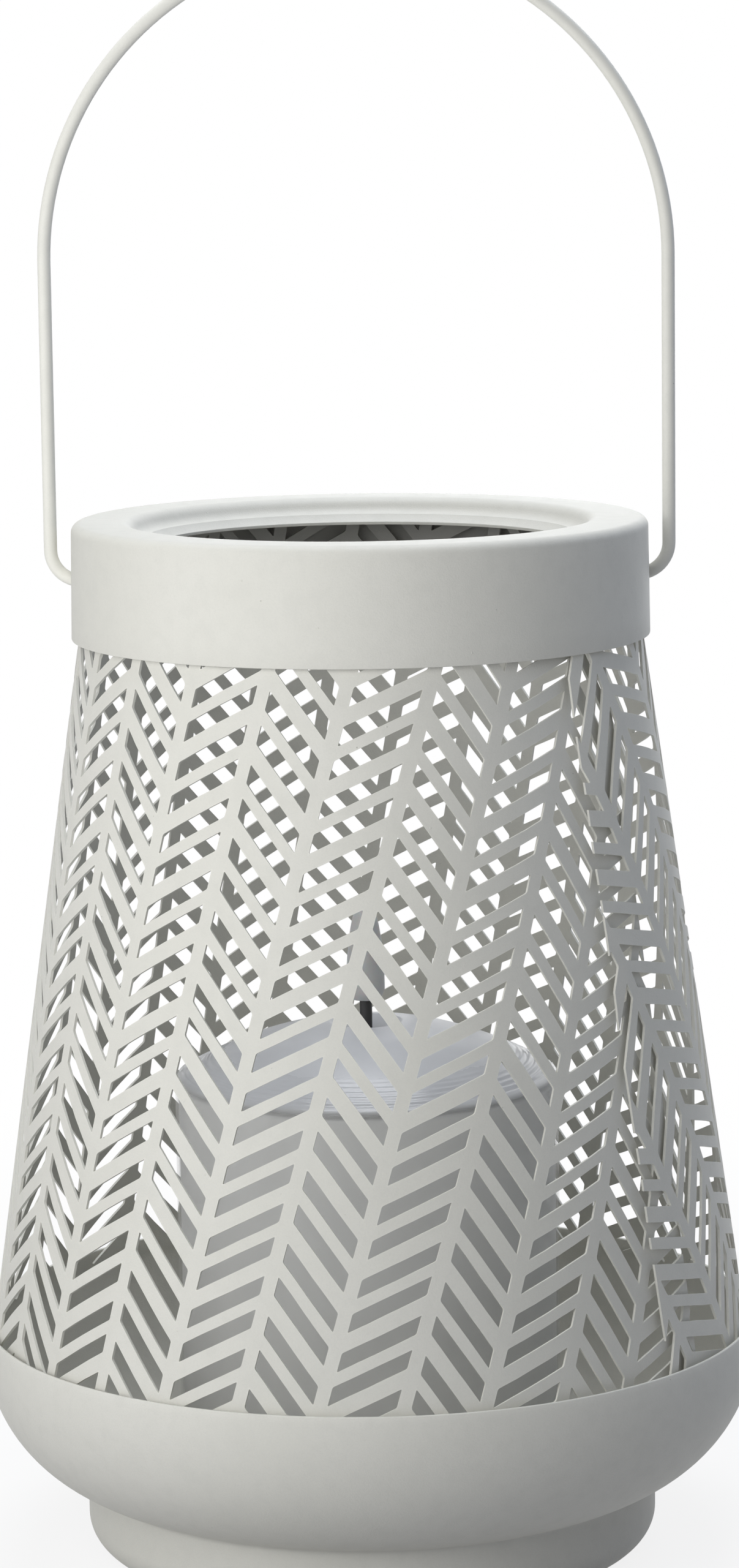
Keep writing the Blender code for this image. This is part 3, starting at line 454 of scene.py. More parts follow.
def clear_plastic():
    clear = Finish("clear_plastic", {"IOR": 1.49})
    haze = clear.noise(size=9.0, detail=3.0)
    scuffs = clear.noise(size=2.0, detail=4.0, stretch=(1.0, 1.0, 0.25))
    dome = clear.ease(clear.height(), DOME_FROM, DOME_FULL)
    ridged = clear.ease(clear.spread(), RIDGES_FROM, RIDGES_FULL)
    # Painted light: the dome is tinted bluish for the cool light from above, and the sides a little warmer for the
    # light bounced from the paint.
    side_tone = clear.mix(haze, colour(0.80, 0.80, 0.78), colour(0.86, 0.86, 0.84))
    dome_painted_sky_tone = clear.mix(haze, colour(0.62, 0.63, 0.652), colour(0.66, 0.67, 0.688))
    clear.paint({
        "Base Color": clear.mix(dome, side_tone, dome_painted_sky_tone),
        "Roughness": 0.10 + scuffs * 0.08 + dome * (0.22 - ridged * 0.18),
        "Alpha": 0.16 + haze * 0.06 + dome * 0.62,
    })
    clear.emboss(scuffs, depth=0.006)
    return clear.material


def frosted_plastic():
    frost = Finish("frosted_plastic")
    cloud = frost.noise(size=14.0, detail=3.0)
    grain = frost.noise(size=0.5, detail=2.0)
    tone = frost.mix(cloud, colour(0.83, 0.83, 0.82), colour(0.88, 0.88, 0.87))
    frost.paint({"Base Color": tone, "Roughness": 0.50 + grain * 0.2})
    frost.emboss(grain, depth=0.03)
    return frost.material


def flame_plastic():
    flame = Finish("flame_plastic", {"Subsurface Weight": 0.4, "Subsurface Scale": 2.0 * MM})
    cloud = flame.noise(size=4.0, detail=3.0)
    grain = flame.noise(size=0.4)
    tone = flame.mix(cloud, colour(0.52, 0.53, 0.53), colour(0.62, 0.62, 0.61))
    flame.paint({"Base Color": tone, "Roughness": 0.30 + cloud * 0.2})
    flame.emboss(grain, depth=0.02)
    return flame.material


def moulded_plastic(name, first, second, roughness):
    """Moulded plastic with the fine pitted skin of an eroded tool."""
    plastic = Finish(name)
    cloud = plastic.noise(size=11.0, detail=3.0)
    pits = plastic.noise(size=0.35, detail=2.0)
    tone = plastic.mix(cloud, first, second)
    plastic.paint({"Base Color": tone, "Roughness": roughness + pits * 0.15})
    plastic.emboss(pits, depth=0.03)
    return plastic.material


FINISHES["clear_plastic"] = clear_plastic()
FINISHES["frosted_plastic"] = frosted_plastic()
FINISHES["flame_plastic"] = flame_plastic()
FINISHES["pale_plastic"] = moulded_plastic(
    "pale_plastic", colour(0.68, 0.67, 0.64), colour(0.72, 0.71, 0.68), roughness=0.42)
FINISHES["black_plastic"] = moulded_plastic(
    "black_plastic", colour(0.016, 0.016, 0.017), colour(0.030, 0.030, 0.031), roughness=0.40)
FINISHES["red_insulation"] = moulded_plastic(
    "red_insulation", colour(0.46, 0.028, 0.026), colour(0.54, 0.036, 0.032), roughness=0.38)
print("finishes:", sorted(FINISHES))

# %% [markdown]
# ### Metal, board and light
#
# Inside the candle are plated contacts, two cells, a small board and a light. They show only when someone
# takes the candle apart, but each still gets the finish of its kind: drawn lines on the plating, a plain
# two-tone jacket on the cells, and copper tracks under the board's varnish.

# %% Metal, board and light
BAND_FROM = 0.70
BAND_FULL = 0.71
TRACK_PITCH = 1.4
TRACK_STEP = 1.7
TRACK_ROW = 5.0


def plated_steel():
    steel = Finish("plated_steel", {"Metallic": 1.0})
    lines = steel.noise(size=0.25, detail=2.0, stretch=(1.0, 1.0, 0.05))
    stain = steel.noise(size=3.0, detail=3.0)
    tone = steel.mix(stain, colour(0.56, 0.555, 0.53), colour(0.68, 0.675, 0.65))
    steel.paint({"Base Color": tone, "Roughness": 0.22 + lines * 0.18})
    steel.emboss(lines, depth=0.01)
    return steel.material


def cell_jacket():
    low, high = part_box("battery_1")
    jacket = Finish("cell_jacket", {"Metallic": 0.6})
    foot = low.z / MM
    tall = (high.z - low.z) / MM
    band = jacket.ease(jacket.height(), foot + BAND_FROM * tall, foot + BAND_FULL * tall)
    ripple = jacket.noise(size=6.0, detail=3.0)
    tone = jacket.mix(band, colour(0.055, 0.058, 0.065), colour(0.50, 0.31, 0.12))
    tone = jacket.mix(ripple * 0.25, tone, colour(0.12, 0.12, 0.13))
    jacket.paint({"Base Color": tone, "Roughness": 0.24 + ripple * 0.16})
    return jacket.material


def board_laminate():
    board = Finish("board_laminate", {"Coat Roughness": 0.15})
    across = board.node("ShaderNodeSeparateXYZ", {}, {0: board.place}, output="X")
    along = across.output("Y")
    shift = board.math("FLOOR", along / TRACK_ROW) * TRACK_STEP
    stripe = board.math("PINGPONG", across + shift, TRACK_PITCH)
    track = board.ease(stripe, 0.75, 0.85)
    weave = board.noise(size=0.6, detail=2.0)
    tone = board.mix(track, colour(0.020, 0.115, 0.055), colour(0.045, 0.210, 0.090))
    board.paint({"Base Color": tone, "Roughness": 0.32 + weave * 0.16, "Coat Weight": 0.3 + weave * 0.2})
    board.emboss(track + weave * 0.3, depth=0.03)
    return board.material


def led_lens():
    lens = Finish("led_lens", {"IOR": 1.52})
    cloud = lens.noise(size=1.5, detail=2.0)
    tone = lens.mix(cloud, colour(0.80, 0.70, 0.42), colour(0.90, 0.83, 0.60))
    lens.paint({"Base Color": tone, "Roughness": 0.08 + cloud * 0.1})
    return lens.material


FINISHES["plated_steel"] = plated_steel()
FINISHES["cell_jacket"] = cell_jacket()
FINISHES["board_laminate"] = board_laminate()
FINISHES["led_lens"] = led_lens()
print("finishes:", len(FINISHES))

# %% [markdown]
# ## Geometry helpers
#
# Geometry Nodes build what repeats or follows a path. The class below makes a tree with named inputs, and
# its result becomes a plain mesh at once, so that later steps meet ordinary faces. Turned pieces are simple
# enough for a few lines of mesh code: a half section carried round the axis.

# %% Meshes and recipes
SMOOTH_ANGLE = math.radians(32.0)


def add_piece(name, bm, finish=None):
    mesh = bpy.data.meshes.new(name)
    bm.to_mesh(mesh)
    bm.free()
    if finish is not None:
        mesh.materials.append(FINISHES[finish])
    piece = bpy.data.objects.new(name, mesh)
    bpy.context.scene.collection.objects.link(piece)
    return piece


def settle(piece):
    """Turn a piece with modifiers into a plain mesh."""
    bpy.context.view_layer.update()
    evaluated = piece.evaluated_get(bpy.context.evaluated_depsgraph_get())
    mesh = bpy.data.meshes.new_from_object(evaluated)
    piece.modifiers.clear()
    piece.data = mesh
    mesh.name = piece.name
    return piece


def smooth(piece, angle=SMOOTH_ANGLE):
    piece.data.shade_smooth()
    piece.data.set_sharp_from_angle(angle=angle)
    return piece


def hand_over(piece, slot, body, *nodes):
    """Tell the frame what a finished piece stands for, and which body carries it."""
    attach(piece, body)
    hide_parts(*nodes)
    triangles = sum(len(face.vertices) - 2 for face in piece.data.polygons)
    print(piece.name, "replaces", ", ".join(nodes), "with", triangles, "triangles")


SOCKET_KINDS = {
    float: "NodeSocketFloat", int: "NodeSocketInt",
    bpy.types.Object: "NodeSocketObject", bpy.types.Material: "NodeSocketMaterial",
}


class Recipe(NodeBoard):
    """A Geometry Nodes tree with named inputs."""

    def __init__(self, name, inputs):
        super().__init__(bpy.data.node_groups.new(name, "GeometryNodeTree"))
        face = self.tree.interface
        face.new_socket("Geometry", in_out="INPUT", socket_type="NodeSocketGeometry")
        face.new_socket("Geometry", in_out="OUTPUT", socket_type="NodeSocketGeometry")
        self.values = []
        for label, value in inputs.items():
            socket = face.new_socket(label, in_out="INPUT", socket_type=SOCKET_KINDS[type(value)])
            self.values.append((socket.identifier, value))
        self.inputs = self.node("NodeGroupInput")

    def given(self, label):
        return self.inputs.output(label)

    def serve(self, geometry):
        """End the tree: real faces, the given finish, and the link to the tree's output."""
        faces = self.node("GeometryNodeRealizeInstances", {}, {"Geometry": geometry})
        sockets = {"Geometry": faces, "Material": self.given("Finish")}
        painted = self.node("GeometryNodeSetMaterial", {}, sockets)
        result = self.tree.nodes.new("NodeGroupOutput")
        self.feed(painted, result.inputs["Geometry"])

    def cook(self, piece):
        """Run the recipe on a piece and leave the result as its plain mesh."""
        modifier = piece.modifiers.new(self.tree.name, "NODES")
        modifier.node_group = self.tree
        for identifier, value in self.values:
            modifier[identifier] = value
        return settle(piece)


print("geometry helpers ready")

# %% [markdown]
# ## The shade: a herringbone of slots
#
# The shade is flat sheet before it is a cone, so it is made in that order. On the flat sheet, straight
# spines run side by side and slots slant from spine to spine, up in one column and down in the next. If
# every column is sheared back, the slots become plain rectangles on a plain grid. So one small cell with a
# round-cornered hole is enough: Geometry Nodes set it out on a grid, shear the columns into chevrons and
# lean the whole pattern.

# %% Sizes of the herringbone
SPINE_LEAN = math.radians(16.0)
SPINE_SPACING = 14.65 * MM
SPINE_WIDTH = 2.55 * MM
SLOT_ANGLE = math.radians(50.5)
SLOT_PITCH = 6.82 * MM
SLOT_LENGTH = 3.6 * MM
SLOT_STAGGER = 0.25 * MM
SLOT_ROUND = 0.25 * MM
EDGE_WOBBLE = 0.25 * MM
ROW_SKEW = math.radians(1.65)
PEAK_ACROSS = -12.3 * MM
PEAK_DOWN = 90.0 * MM
LONG_STEPS = 4
COLUMNS = 58
ROWS = 79
CELL_WELD = 0.01 * MM
WOBBLE_SCALE = 400.0
COLLAR_TUCK = 20.5 * MM
BOWL_TUCK = 2.2 * MM

RIM_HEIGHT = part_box("base_bowl")[1].z
COLLAR_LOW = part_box("collar")[0].z
SHADE_LENGTH = COLLAR_LOW - RIM_HEIGHT
SHADE_TOP_RADIUS = 53.65 * MM
SHADE_LOW_RADIUS = 72.7 * MM
CONE_ANGLE = math.atan((SHADE_LOW_RADIUS - SHADE_TOP_RADIUS) / SHADE_LENGTH)
COLLAR_SLANT = SHADE_TOP_RADIUS / math.sin(CONE_ANGLE)
LOW_SLANT = COLLAR_SLANT + SHADE_LENGTH / math.cos(CONE_ANGLE)
APEX_HEIGHT = COLLAR_LOW + COLLAR_SLANT * math.cos(CONE_ANGLE)
SEAM_TURN = math.radians(49.0)
LAP_TURN = math.radians(9.0)
CUT_LEAN = math.radians(5.5)
OUTER_END = SEAM_TURN - 2.0 * math.pi
INNER_END = SEAM_TURN + LAP_TURN
print("cone angle:", round(math.degrees(CONE_ANGLE), 2), "degrees")
print("flat sheet:", round((INNER_END - OUTER_END) * math.degrees(math.sin(CONE_ANGLE)), 1), "degrees wide")

# %% One punched cell


def punched_cell():
    """A rectangle of sheet round one slot, before the shear; slot_edge marks the points on the slot."""
    bm = bmesh.new()
    edge = bm.verts.layers.float.new("slot_edge")
    half_wide = 0.5 * SPINE_SPACING
    half_tall = 0.5 * SLOT_PITCH
    slot_wide = half_wide - 0.5 * SPINE_WIDTH
    slot_tall = 0.5 * SLOT_LENGTH
    straight = slot_wide - SLOT_ROUND
    across = [straight * (2.0 * i / LONG_STEPS - 1.0) for i in range(LONG_STEPS + 1)]

    def point(x, y, on_slot=0.0):
        vert = bm.verts.new((x, y, 0.0))
        vert[edge] = on_slot
        return vert

    def face(*verts):
        made = bm.faces.new(verts)
        made.normal_update()
        if made.normal.z < 0.0:
            made.normal_flip()

    ends = {}
    for up in (-1, 1):
        slot = [point(x, up * slot_tall, 1.0) for x in across]
        border = [point(x, up * half_tall) for x in across]
        for i in range(LONG_STEPS):
            face(slot[i], slot[i + 1], border[i + 1], border[i])
        for side, last in ((-1, 0), (1, LONG_STEPS)):
            corner = point(side * half_wide, up * half_tall)
            reach = SLOT_ROUND * math.sqrt(0.5)
            bend = point(side * (straight + reach), up * (slot_tall - SLOT_ROUND + reach), 1.0)
            end = point(side * slot_wide, up * (slot_tall - SLOT_ROUND), 1.0)
            face(slot[last], border[last], corner, bend)
            face(bend, corner, end)
            ends[side, up] = (corner, end)
    for side in (-1, 1):
        face(*ends[side, 1], *reversed(ends[side, -1]))
    return add_piece("punched_cell", bm)


cell = punched_cell()
print("one cell:", len(cell.data.polygons), "faces")

# %% The flat sheet


def on_sheet(recipe, across, along):
    """Where a point of the plain grid lies on the flat sheet, measured from the cone's apex."""
    lean = recipe.given("Spine lean")
    spacing = recipe.given("Spine spacing")
    zigzag = recipe.math("PINGPONG", across, spacing) / recipe.math("TANGENT", recipe.given("Slot angle"))
    down = along + zigzag - across * recipe.math("TANGENT", recipe.given("Row skew"))
    cosine = recipe.math("COSINE", lean)
    sine = recipe.math("SINE", lean)
    x = recipe.given("Peak across") + across * cosine - down * sine
    y = recipe.given("Peak down") + across * sine + down * cosine
    return x, y


def herringbone_sheet():
    peak_slant = COLLAR_SLANT + PEAK_DOWN
    margin = SPINE_SPACING
    squeeze = math.sin(CONE_ANGLE)
    spare = 1.5 * SPINE_SPACING / COLLAR_SLANT
    recipe = Recipe("herringbone sheet", {
        "Cell": cell, "Columns": COLUMNS, "Rows": ROWS,
        "Spine spacing": SPINE_SPACING, "Spine lean": SPINE_LEAN,
        "Slot pitch": SLOT_PITCH, "Slot angle": SLOT_ANGLE, "Stagger": SLOT_STAGGER, "Row skew": ROW_SKEW,
        "Wobble": EDGE_WOBBLE,
        "Peak across": PEAK_ACROSS, "Peak down": math.sqrt(peak_slant ** 2 - PEAK_ACROSS ** 2),
        "Nearest": COLLAR_SLANT - COLLAR_TUCK - margin, "Farthest": LOW_SLANT + BOWL_TUCK + margin,
        "First angle": OUTER_END * squeeze - spare, "Last angle": INNER_END * squeeze + spare,
        "Finish": FINISHES["powder_coat"],
    })
    spacing = recipe.given("Spine spacing")
    pitch = recipe.given("Slot pitch")
    columns = recipe.given("Columns")
    rows = recipe.given("Rows")
    grid = recipe.node("GeometryNodeMeshGrid", {}, {
        "Size X": (columns - 1) * spacing, "Size Y": (rows - 1) * pitch,
        "Vertices X": columns, "Vertices Y": rows,
    })
    grid_place = recipe.node("GeometryNodeInputPosition")
    across = recipe.node("ShaderNodeSeparateXYZ", {}, {0: grid_place}, output="X")
    along = across.output("Y")

    x, y = on_sheet(recipe, across, along)
    slant = (x * x + y * y) ** 0.5
    angle = recipe.math("ARCTAN2", x, y)
    inside = (slant > recipe.given("Nearest")) * (slant < recipe.given("Farthest"))
    inside = inside * (angle > recipe.given("First angle")) * (angle < recipe.given("Last angle"))
    points = recipe.node("GeometryNodeDeleteGeometry", {}, {"Geometry": grid, "Selection": 1 - inside})

    column = recipe.math("FLOOR", across / spacing)
    row = recipe.math("ROUND", along / pitch)
    odd = recipe.math("FLOORED_MODULO", column + row, 2.0)
    shift = recipe.given("Stagger") * (1 - 2 * odd)
    points = recipe.node("GeometryNodeStoreNamedAttribute", {"data_type": "FLOAT", "domain": "POINT"},
                         {"Geometry": points, "Name": "slot_shift", "Value": shift})

    shape = recipe.node("GeometryNodeObjectInfo", {}, {"Object": recipe.given("Cell")}, output="Geometry")
    sheet = recipe.node("GeometryNodeInstanceOnPoints", {}, {"Points": points, "Instance": shape})
    sheet = recipe.node("GeometryNodeRealizeInstances", {}, {"Geometry": sheet})
    sheet = recipe.node("GeometryNodeMergeByDistance", {}, {"Geometry": sheet, "Distance": CELL_WELD})
    edge = recipe.node("GeometryNodeInputNamedAttribute", {"data_type": "FLOAT"}, {"Name": "slot_edge"})
    moved = recipe.node("GeometryNodeInputNamedAttribute", {"data_type": "FLOAT"}, {"Name": "slot_shift"})
    sockets = {"Vector": grid_place, "Scale": WOBBLE_SCALE, "Detail": 0.0}
    wobble = recipe.node("ShaderNodeTexNoise", {}, sockets) - 0.5
    x, y = on_sheet(recipe, across, along + edge * (moved + wobble * recipe.given("Wobble")))
    spot = recipe.node("ShaderNodeCombineXYZ", {}, {"X": x, "Y": y})
    recipe.serve(recipe.node("GeometryNodeSetPosition", {}, {"Geometry": sheet, "Position": spot}))
    return recipe.cook(add_piece("shade_lattice", bmesh.new()))


shade = herringbone_sheet()
bpy.data.objects.remove(cell)
print("flat sheet:", len(shade.data.polygons), "faces")

# %% [markdown]
# ### Cutting and rolling
#
# The sheet is cut along two straight lines, so the cut runs right through slots and leaves open fingers at
# the outer end, as on the real seam, which leans a little to the left at the top. A cone unrolls into a
# flat sector, which makes rolling a change of coordinates: the distance from the apex stays, and the angle
# opens by one over the sine of the cone's angle. The inner end steps in under the outer one, and the free
# fingers stand a little proud. The sheet reaches up inside the collar, where its slots show through the
# mouth, and leaves room there for the bail's ends.

# %% Cut the ends
CUT_SLACK = 0.002 * MM


def trim(bm, point, normal):
    """Keep the side of a plane that its normal points away from."""
    geometry = bm.verts[:] + bm.edges[:] + bm.faces[:]
    bmesh.ops.bisect_plane(bm, geom=geometry, dist=CUT_SLACK, plane_co=point, plane_no=normal,
                           clear_outer=True)


def keep_largest(bm):
    """Delete every bit that isn't joined to the largest one."""
    unseen = set(bm.verts)
    islands = []
    while unseen:
        stack = [unseen.pop()]
        island = set(stack)
        while stack:
            for link in stack.pop().link_edges:
                for vert in link.verts:
                    if vert in unseen:
                        unseen.discard(vert)
                        island.add(vert)
                        stack.append(vert)
        islands.append(island)
    islands.sort(key=len)
    for island in islands[:-1]:
        bmesh.ops.delete(bm, geom=list(island), context="VERTS")


def flat_point(slant, turn):
    """Where a point of the cone lies on the flat sheet."""
    angle = turn * math.sin(CONE_ANGLE)
    return Vector((slant * math.sin(angle), slant * math.cos(angle), 0.0))


def reshape(piece, change):
    """Change a piece's mesh by a function, and drop what it cuts loose."""
    bm = bmesh.new()
    bm.from_mesh(piece.data)
    change(bm)
    keep_largest(bm)
    bm.to_mesh(piece.data)
    bm.free()


def cut_ends(bm):
    for turn, lean, keep_above in ((OUTER_END, CUT_LEAN, 1.0), (INNER_END, 0.0, -1.0)):
        high = flat_point(COLLAR_SLANT, turn - lean)
        along = flat_point(LOW_SLANT, turn) - high
        normal = Vector((along.y, -along.x, 0.0)).normalized() * -keep_above
        trim(bm, high, normal)


reshape(shade, cut_ends)
print("cut sheet:", len(shade.data.polygons), "faces")

# %% Roll the sheet
SHEET = 0.5 * MM
LAP_STEP = 1.0 * MM
LAP_RAMP = math.radians(35.0)
FINGER_LIFT = 0.9 * MM
FINGER_TURN = math.radians(7.0)
UNEVEN_SCALE = 55.0
SHADE_EDGE = 0.12 * MM
BEVEL_ANGLE = math.radians(50.0)
BAIL_ROOM = 4.5 * MM
# The record's first joint is the bail's hinge.
PIVOT = Vector(frame["joints"][0]["pos_m"])


def roll_sheet(piece):
    recipe = Recipe("roll into a cone", {
        "Cone angle": CONE_ANGLE, "Apex height": APEX_HEIGHT,
        "Lap start": SEAM_TURN - LAP_RAMP, "Lap end": SEAM_TURN, "Lap step": LAP_STEP,
        "Finger end": OUTER_END, "Finger root": OUTER_END + FINGER_TURN, "Finger lift": FINGER_LIFT,
        "Finish": FINISHES["powder_coat"],
    })
    position = recipe.node("GeometryNodeInputPosition")
    x = recipe.node("ShaderNodeSeparateXYZ", {}, {0: position}, output="X")
    y = x.output("Y")
    sine = recipe.math("SINE", recipe.given("Cone angle"))
    cosine = recipe.math("COSINE", recipe.given("Cone angle"))
    slant = (x * x + y * y) ** 0.5
    turn = recipe.math("ARCTAN2", x, y) / sine
    lap = recipe.ease(turn, recipe.given("Lap start"), recipe.given("Lap end")) * recipe.given("Lap step")
    free = 1 - recipe.ease(turn, recipe.given("Finger end"), recipe.given("Finger root"))
    sockets = {"Vector": position, "Scale": UNEVEN_SCALE, "Detail": 1.0}
    uneven = recipe.node("ShaderNodeTexNoise", {}, sockets)
    lift = free * uneven * recipe.given("Finger lift") - lap
    radius = slant * sine + lift * cosine
    height = recipe.given("Apex height") - slant * cosine + lift * sine
    spot = recipe.node("ShaderNodeCombineXYZ", {}, {
        "X": radius * recipe.math("SINE", turn), "Y": 0 - radius * recipe.math("COSINE", turn), "Z": height,
    })
    sheet = recipe.given("Geometry")
    cone = recipe.node("GeometryNodeSetPosition", {}, {"Geometry": sheet, "Position": spot})
    recipe.serve(recipe.node("GeometryNodeFlipFaces", {}, {"Mesh": cone}))
    recipe.cook(piece)


def trim_to_height(bm):
    trim(bm, (0.0, 0.0, COLLAR_LOW + COLLAR_TUCK), (0.0, 0.0, 1.0))
    trim(bm, (0.0, 0.0, RIM_HEIGHT - BOWL_TUCK), (0.0, 0.0, -1.0))


def clear_bail_ends(bm):
    """Leave room in the sheet for the bail's ends, which reach through the collar."""
    near = []
    for face in bm.faces:
        away = face.calc_center_median() - PIVOT
        if math.hypot(away.y, away.z) < BAIL_ROOM:
            near.append(face)
    bmesh.ops.delete(bm, geom=near, context="FACES")


def thicken(piece, wall, edge, segments=1):
    """Give an open sheet its thickness inwards, and soften its sharp edges."""
    solid = piece.modifiers.new("wall", "SOLIDIFY")
    solid.thickness = wall
    solid.offset = -1.0
    solid.use_even_offset = True
    soft = piece.modifiers.new("soft edges", "BEVEL")
    soft.width = edge
    soft.segments = segments
    soft.limit_method = "ANGLE"
    soft.angle_limit = BEVEL_ANGLE
    return smooth(settle(piece))


roll_sheet(shade)
reshape(shade, trim_to_height)
reshape(shade, clear_bail_ends)
thicken(shade, SHEET, SHADE_EDGE)
hand_over(shade, "powder_coat", "lantern", "shade")

# %% [markdown]
# ## Bowl and collar
#
# A spinner presses a turning disc over a form, so the bowl and its foot are one sheet with round bends and
# an even wall. A half section carried round the axis is the same idea. The collar is pressed: a flat ring,
# a soft step down and a narrow ring round the mouth, with two holes for the bail.

# %% Turning
QUARTER = 0.5 * math.pi
WELD = 0.001 * MM


def arc(centre, radius, start, end, count):
    """Points of an arc in section, as (distance from the axis, height)."""
    points = []
    for i in range(count + 1):
        angle = start + (end - start) * i / count
        points.append((centre[0] + radius * math.cos(angle), centre[1] + radius * math.sin(angle)))
    return points


def turned(name, section, finish, steps=160):
    """A surface turned about the axis. The section runs down the outside, so that faces point out."""
    bm = bmesh.new()
    rings = []
    for radius, height in section:
        if radius < WELD:
            rings.append([bm.verts.new((0.0, 0.0, height))] * steps)
            continue
        ring = []
        for i in range(steps):
            angle = 2.0 * math.pi * i / steps
            ring.append(bm.verts.new((radius * math.sin(angle), -radius * math.cos(angle), height)))
        rings.append(ring)
    for upper, lower in zip(rings, rings[1:]):
        for i in range(steps):
            j = (i + 1) % steps
            loop = [upper[i], lower[i], lower[j], upper[j]]
            bm.faces.new(list(dict.fromkeys(loop)))
    bmesh.ops.remove_doubles(bm, verts=bm.verts, dist=WELD)
    return add_piece(name, bm, finish)


print("turning ready")

# %% Bowl
BOWL_RADIUS = 74.4 * MM
BOWL_WALL = 0.7 * MM
BOWL_CURVE = 27.8 * MM
BOWL_BULGE = math.radians(9.5)
FOOT_RADIUS = 55.3 * MM
FOOT_FILLET = 1.2 * MM
FOOT_ROLL = 6.3 * MM
FOOT_RING = 2.3 * MM
FLOOR_RISE = 2.0 * MM
FLOOR_SLOPE = 1.5 * MM
BOWL_EDGE = 0.25 * MM


def make_bowl():
    side_x = BOWL_RADIUS - BOWL_CURVE * math.cos(BOWL_BULGE)
    side = (side_x, RIM_HEIGHT - BOWL_CURVE * math.sin(BOWL_BULGE))
    hollow_x = FOOT_RADIUS + FOOT_FILLET
    across = hollow_x - side[0]
    drop = math.sqrt((BOWL_CURVE + FOOT_FILLET) ** 2 - across ** 2)
    meet = math.atan2(-drop, across)
    ring_inner = FOOT_RADIUS - FOOT_ROLL - FOOT_RING
    section = arc(side, BOWL_CURVE, BOWL_BULGE, meet, count=28)
    section += arc((hollow_x, side[1] - drop), FOOT_FILLET, meet + math.pi, math.pi, count=8)[1:]
    section += arc((FOOT_RADIUS - FOOT_ROLL, FOOT_ROLL), FOOT_ROLL, 0.0, -QUARTER, count=14)
    section += [(ring_inner, 0.0), (ring_inner - FLOOR_SLOPE, FLOOR_RISE)]
    section += [(ring_inner * share, FLOOR_RISE) for share in (0.75, 0.5, 0.25, 0.0)]
    bowl = turned("spun_bowl", section, "powder_coat")
    return thicken(bowl, BOWL_WALL, BOWL_EDGE, segments=3)


hand_over(make_bowl(), "powder_coat", "lantern", "base_bowl")

# %% Collar
COLLAR_RADIUS = 55.0 * MM
COLLAR_TAPER = 0.3 * MM
COLLAR_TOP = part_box("collar")[1].z
COLLAR_WALL = 0.7 * MM
COLLAR_EDGE = 1.8 * MM
STEP_EDGE = 45.3 * MM
STEP_DROP = 3.0 * MM
STEP_SLOPE = math.radians(65.0)
MOUTH_RADIUS = 39.0 * MM
MOUTH_DROP = 4.4 * MM
MOUTH_LIP = 0.3 * MM
HOLE_RADIUS = 1.85 * MM
HOLE_SIDES = 24
COLLAR_SOFT = 0.2 * MM


def make_collar():
    bend = 0.5 * STEP_DROP / (1.0 - math.cos(STEP_SLOPE))
    step_end = STEP_EDGE - 2.0 * bend * math.sin(STEP_SLOPE)
    top_radius = COLLAR_RADIUS - COLLAR_TAPER
    mouth = COLLAR_TOP - MOUTH_DROP
    section = [(MOUTH_RADIUS, mouth), (MOUTH_RADIUS + MOUTH_LIP, mouth + 0.3 * MOUTH_LIP)]
    section += arc((step_end, COLLAR_TOP - STEP_DROP + bend), bend, -QUARTER, STEP_SLOPE - QUARTER, count=6)
    section += arc((STEP_EDGE, COLLAR_TOP - bend), bend, STEP_SLOPE + QUARTER, QUARTER, count=6)[1:]
    section += [(0.5 * (STEP_EDGE + top_radius), COLLAR_TOP)]
    section += arc((top_radius - COLLAR_EDGE, COLLAR_TOP - COLLAR_EDGE), COLLAR_EDGE, QUARTER, 0.0, count=8)
    for share in (0.8, 0.6, 0.4, 0.2, 0.0):
        height = COLLAR_LOW + (COLLAR_TOP - COLLAR_EDGE - COLLAR_LOW) * share
        section.append((COLLAR_RADIUS - COLLAR_TAPER * share, height))
    collar = turned("pressed_collar", section, "powder_coat")
    thicken(collar, COLLAR_WALL, COLLAR_SOFT, segments=2)
    bm = bmesh.new()
    across = Matrix.Translation(PIVOT) @ Matrix.Rotation(QUARTER, 4, "Y")
    bmesh.ops.create_cone(bm, cap_ends=True, segments=HOLE_SIDES, radius1=HOLE_RADIUS, radius2=HOLE_RADIUS,
                          depth=4.0 * COLLAR_RADIUS, matrix=across)
    drill = add_piece("bail_drill", bm)
    hole = collar.modifiers.new("bail holes", "BOOLEAN")
    hole.object = drill
    hole.operation = "DIFFERENCE"
    smooth(settle(collar))
    bpy.data.objects.remove(drill)
    return collar


hand_over(make_collar(), "powder_coat", "lantern", "collar")

# %% [markdown]
# ## The bail
#
# One steel wire is bent over a form: two straight legs, a half round arch, and at each end a bend that dips
# into the collar's hole. A curve with a round bevel would do. Here a short Geometry Nodes recipe sweeps a
# circle along a path, so that the wire's thickness and the number of its sides are named inputs that can be
# changed later.

# %% A recipe for round wire
WIRE_SMOOTH = math.radians(50.0)


def round_wire(name, points, radius, sides, finish):
    """A wire with closed ends along a list of points."""
    recipe = Recipe("round wire " + name, {"Radius": radius, "Sides": sides, "Finish": FINISHES[finish]})
    path = recipe.node("GeometryNodeMeshToCurve", {}, {"Mesh": recipe.given("Geometry")})
    ring = recipe.node("GeometryNodeCurvePrimitiveCircle", {},
                       {"Resolution": recipe.given("Sides"), "Radius": recipe.given("Radius")})
    sweep = {"Curve": path, "Profile Curve": ring, "Fill Caps": True}
    wire = recipe.node("GeometryNodeCurveToMesh", {}, sweep)
    recipe.serve(recipe.node("GeometryNodeMergeByDistance", {}, {"Geometry": wire, "Distance": WELD}))
    bm = bmesh.new()
    verts = [bm.verts.new(place) for place in points]
    for first, second in zip(verts, verts[1:]):
        bm.edges.new((first, second))
    return smooth(recipe.cook(add_piece(name, bm)), WIRE_SMOOTH)


print("wire recipe ready")

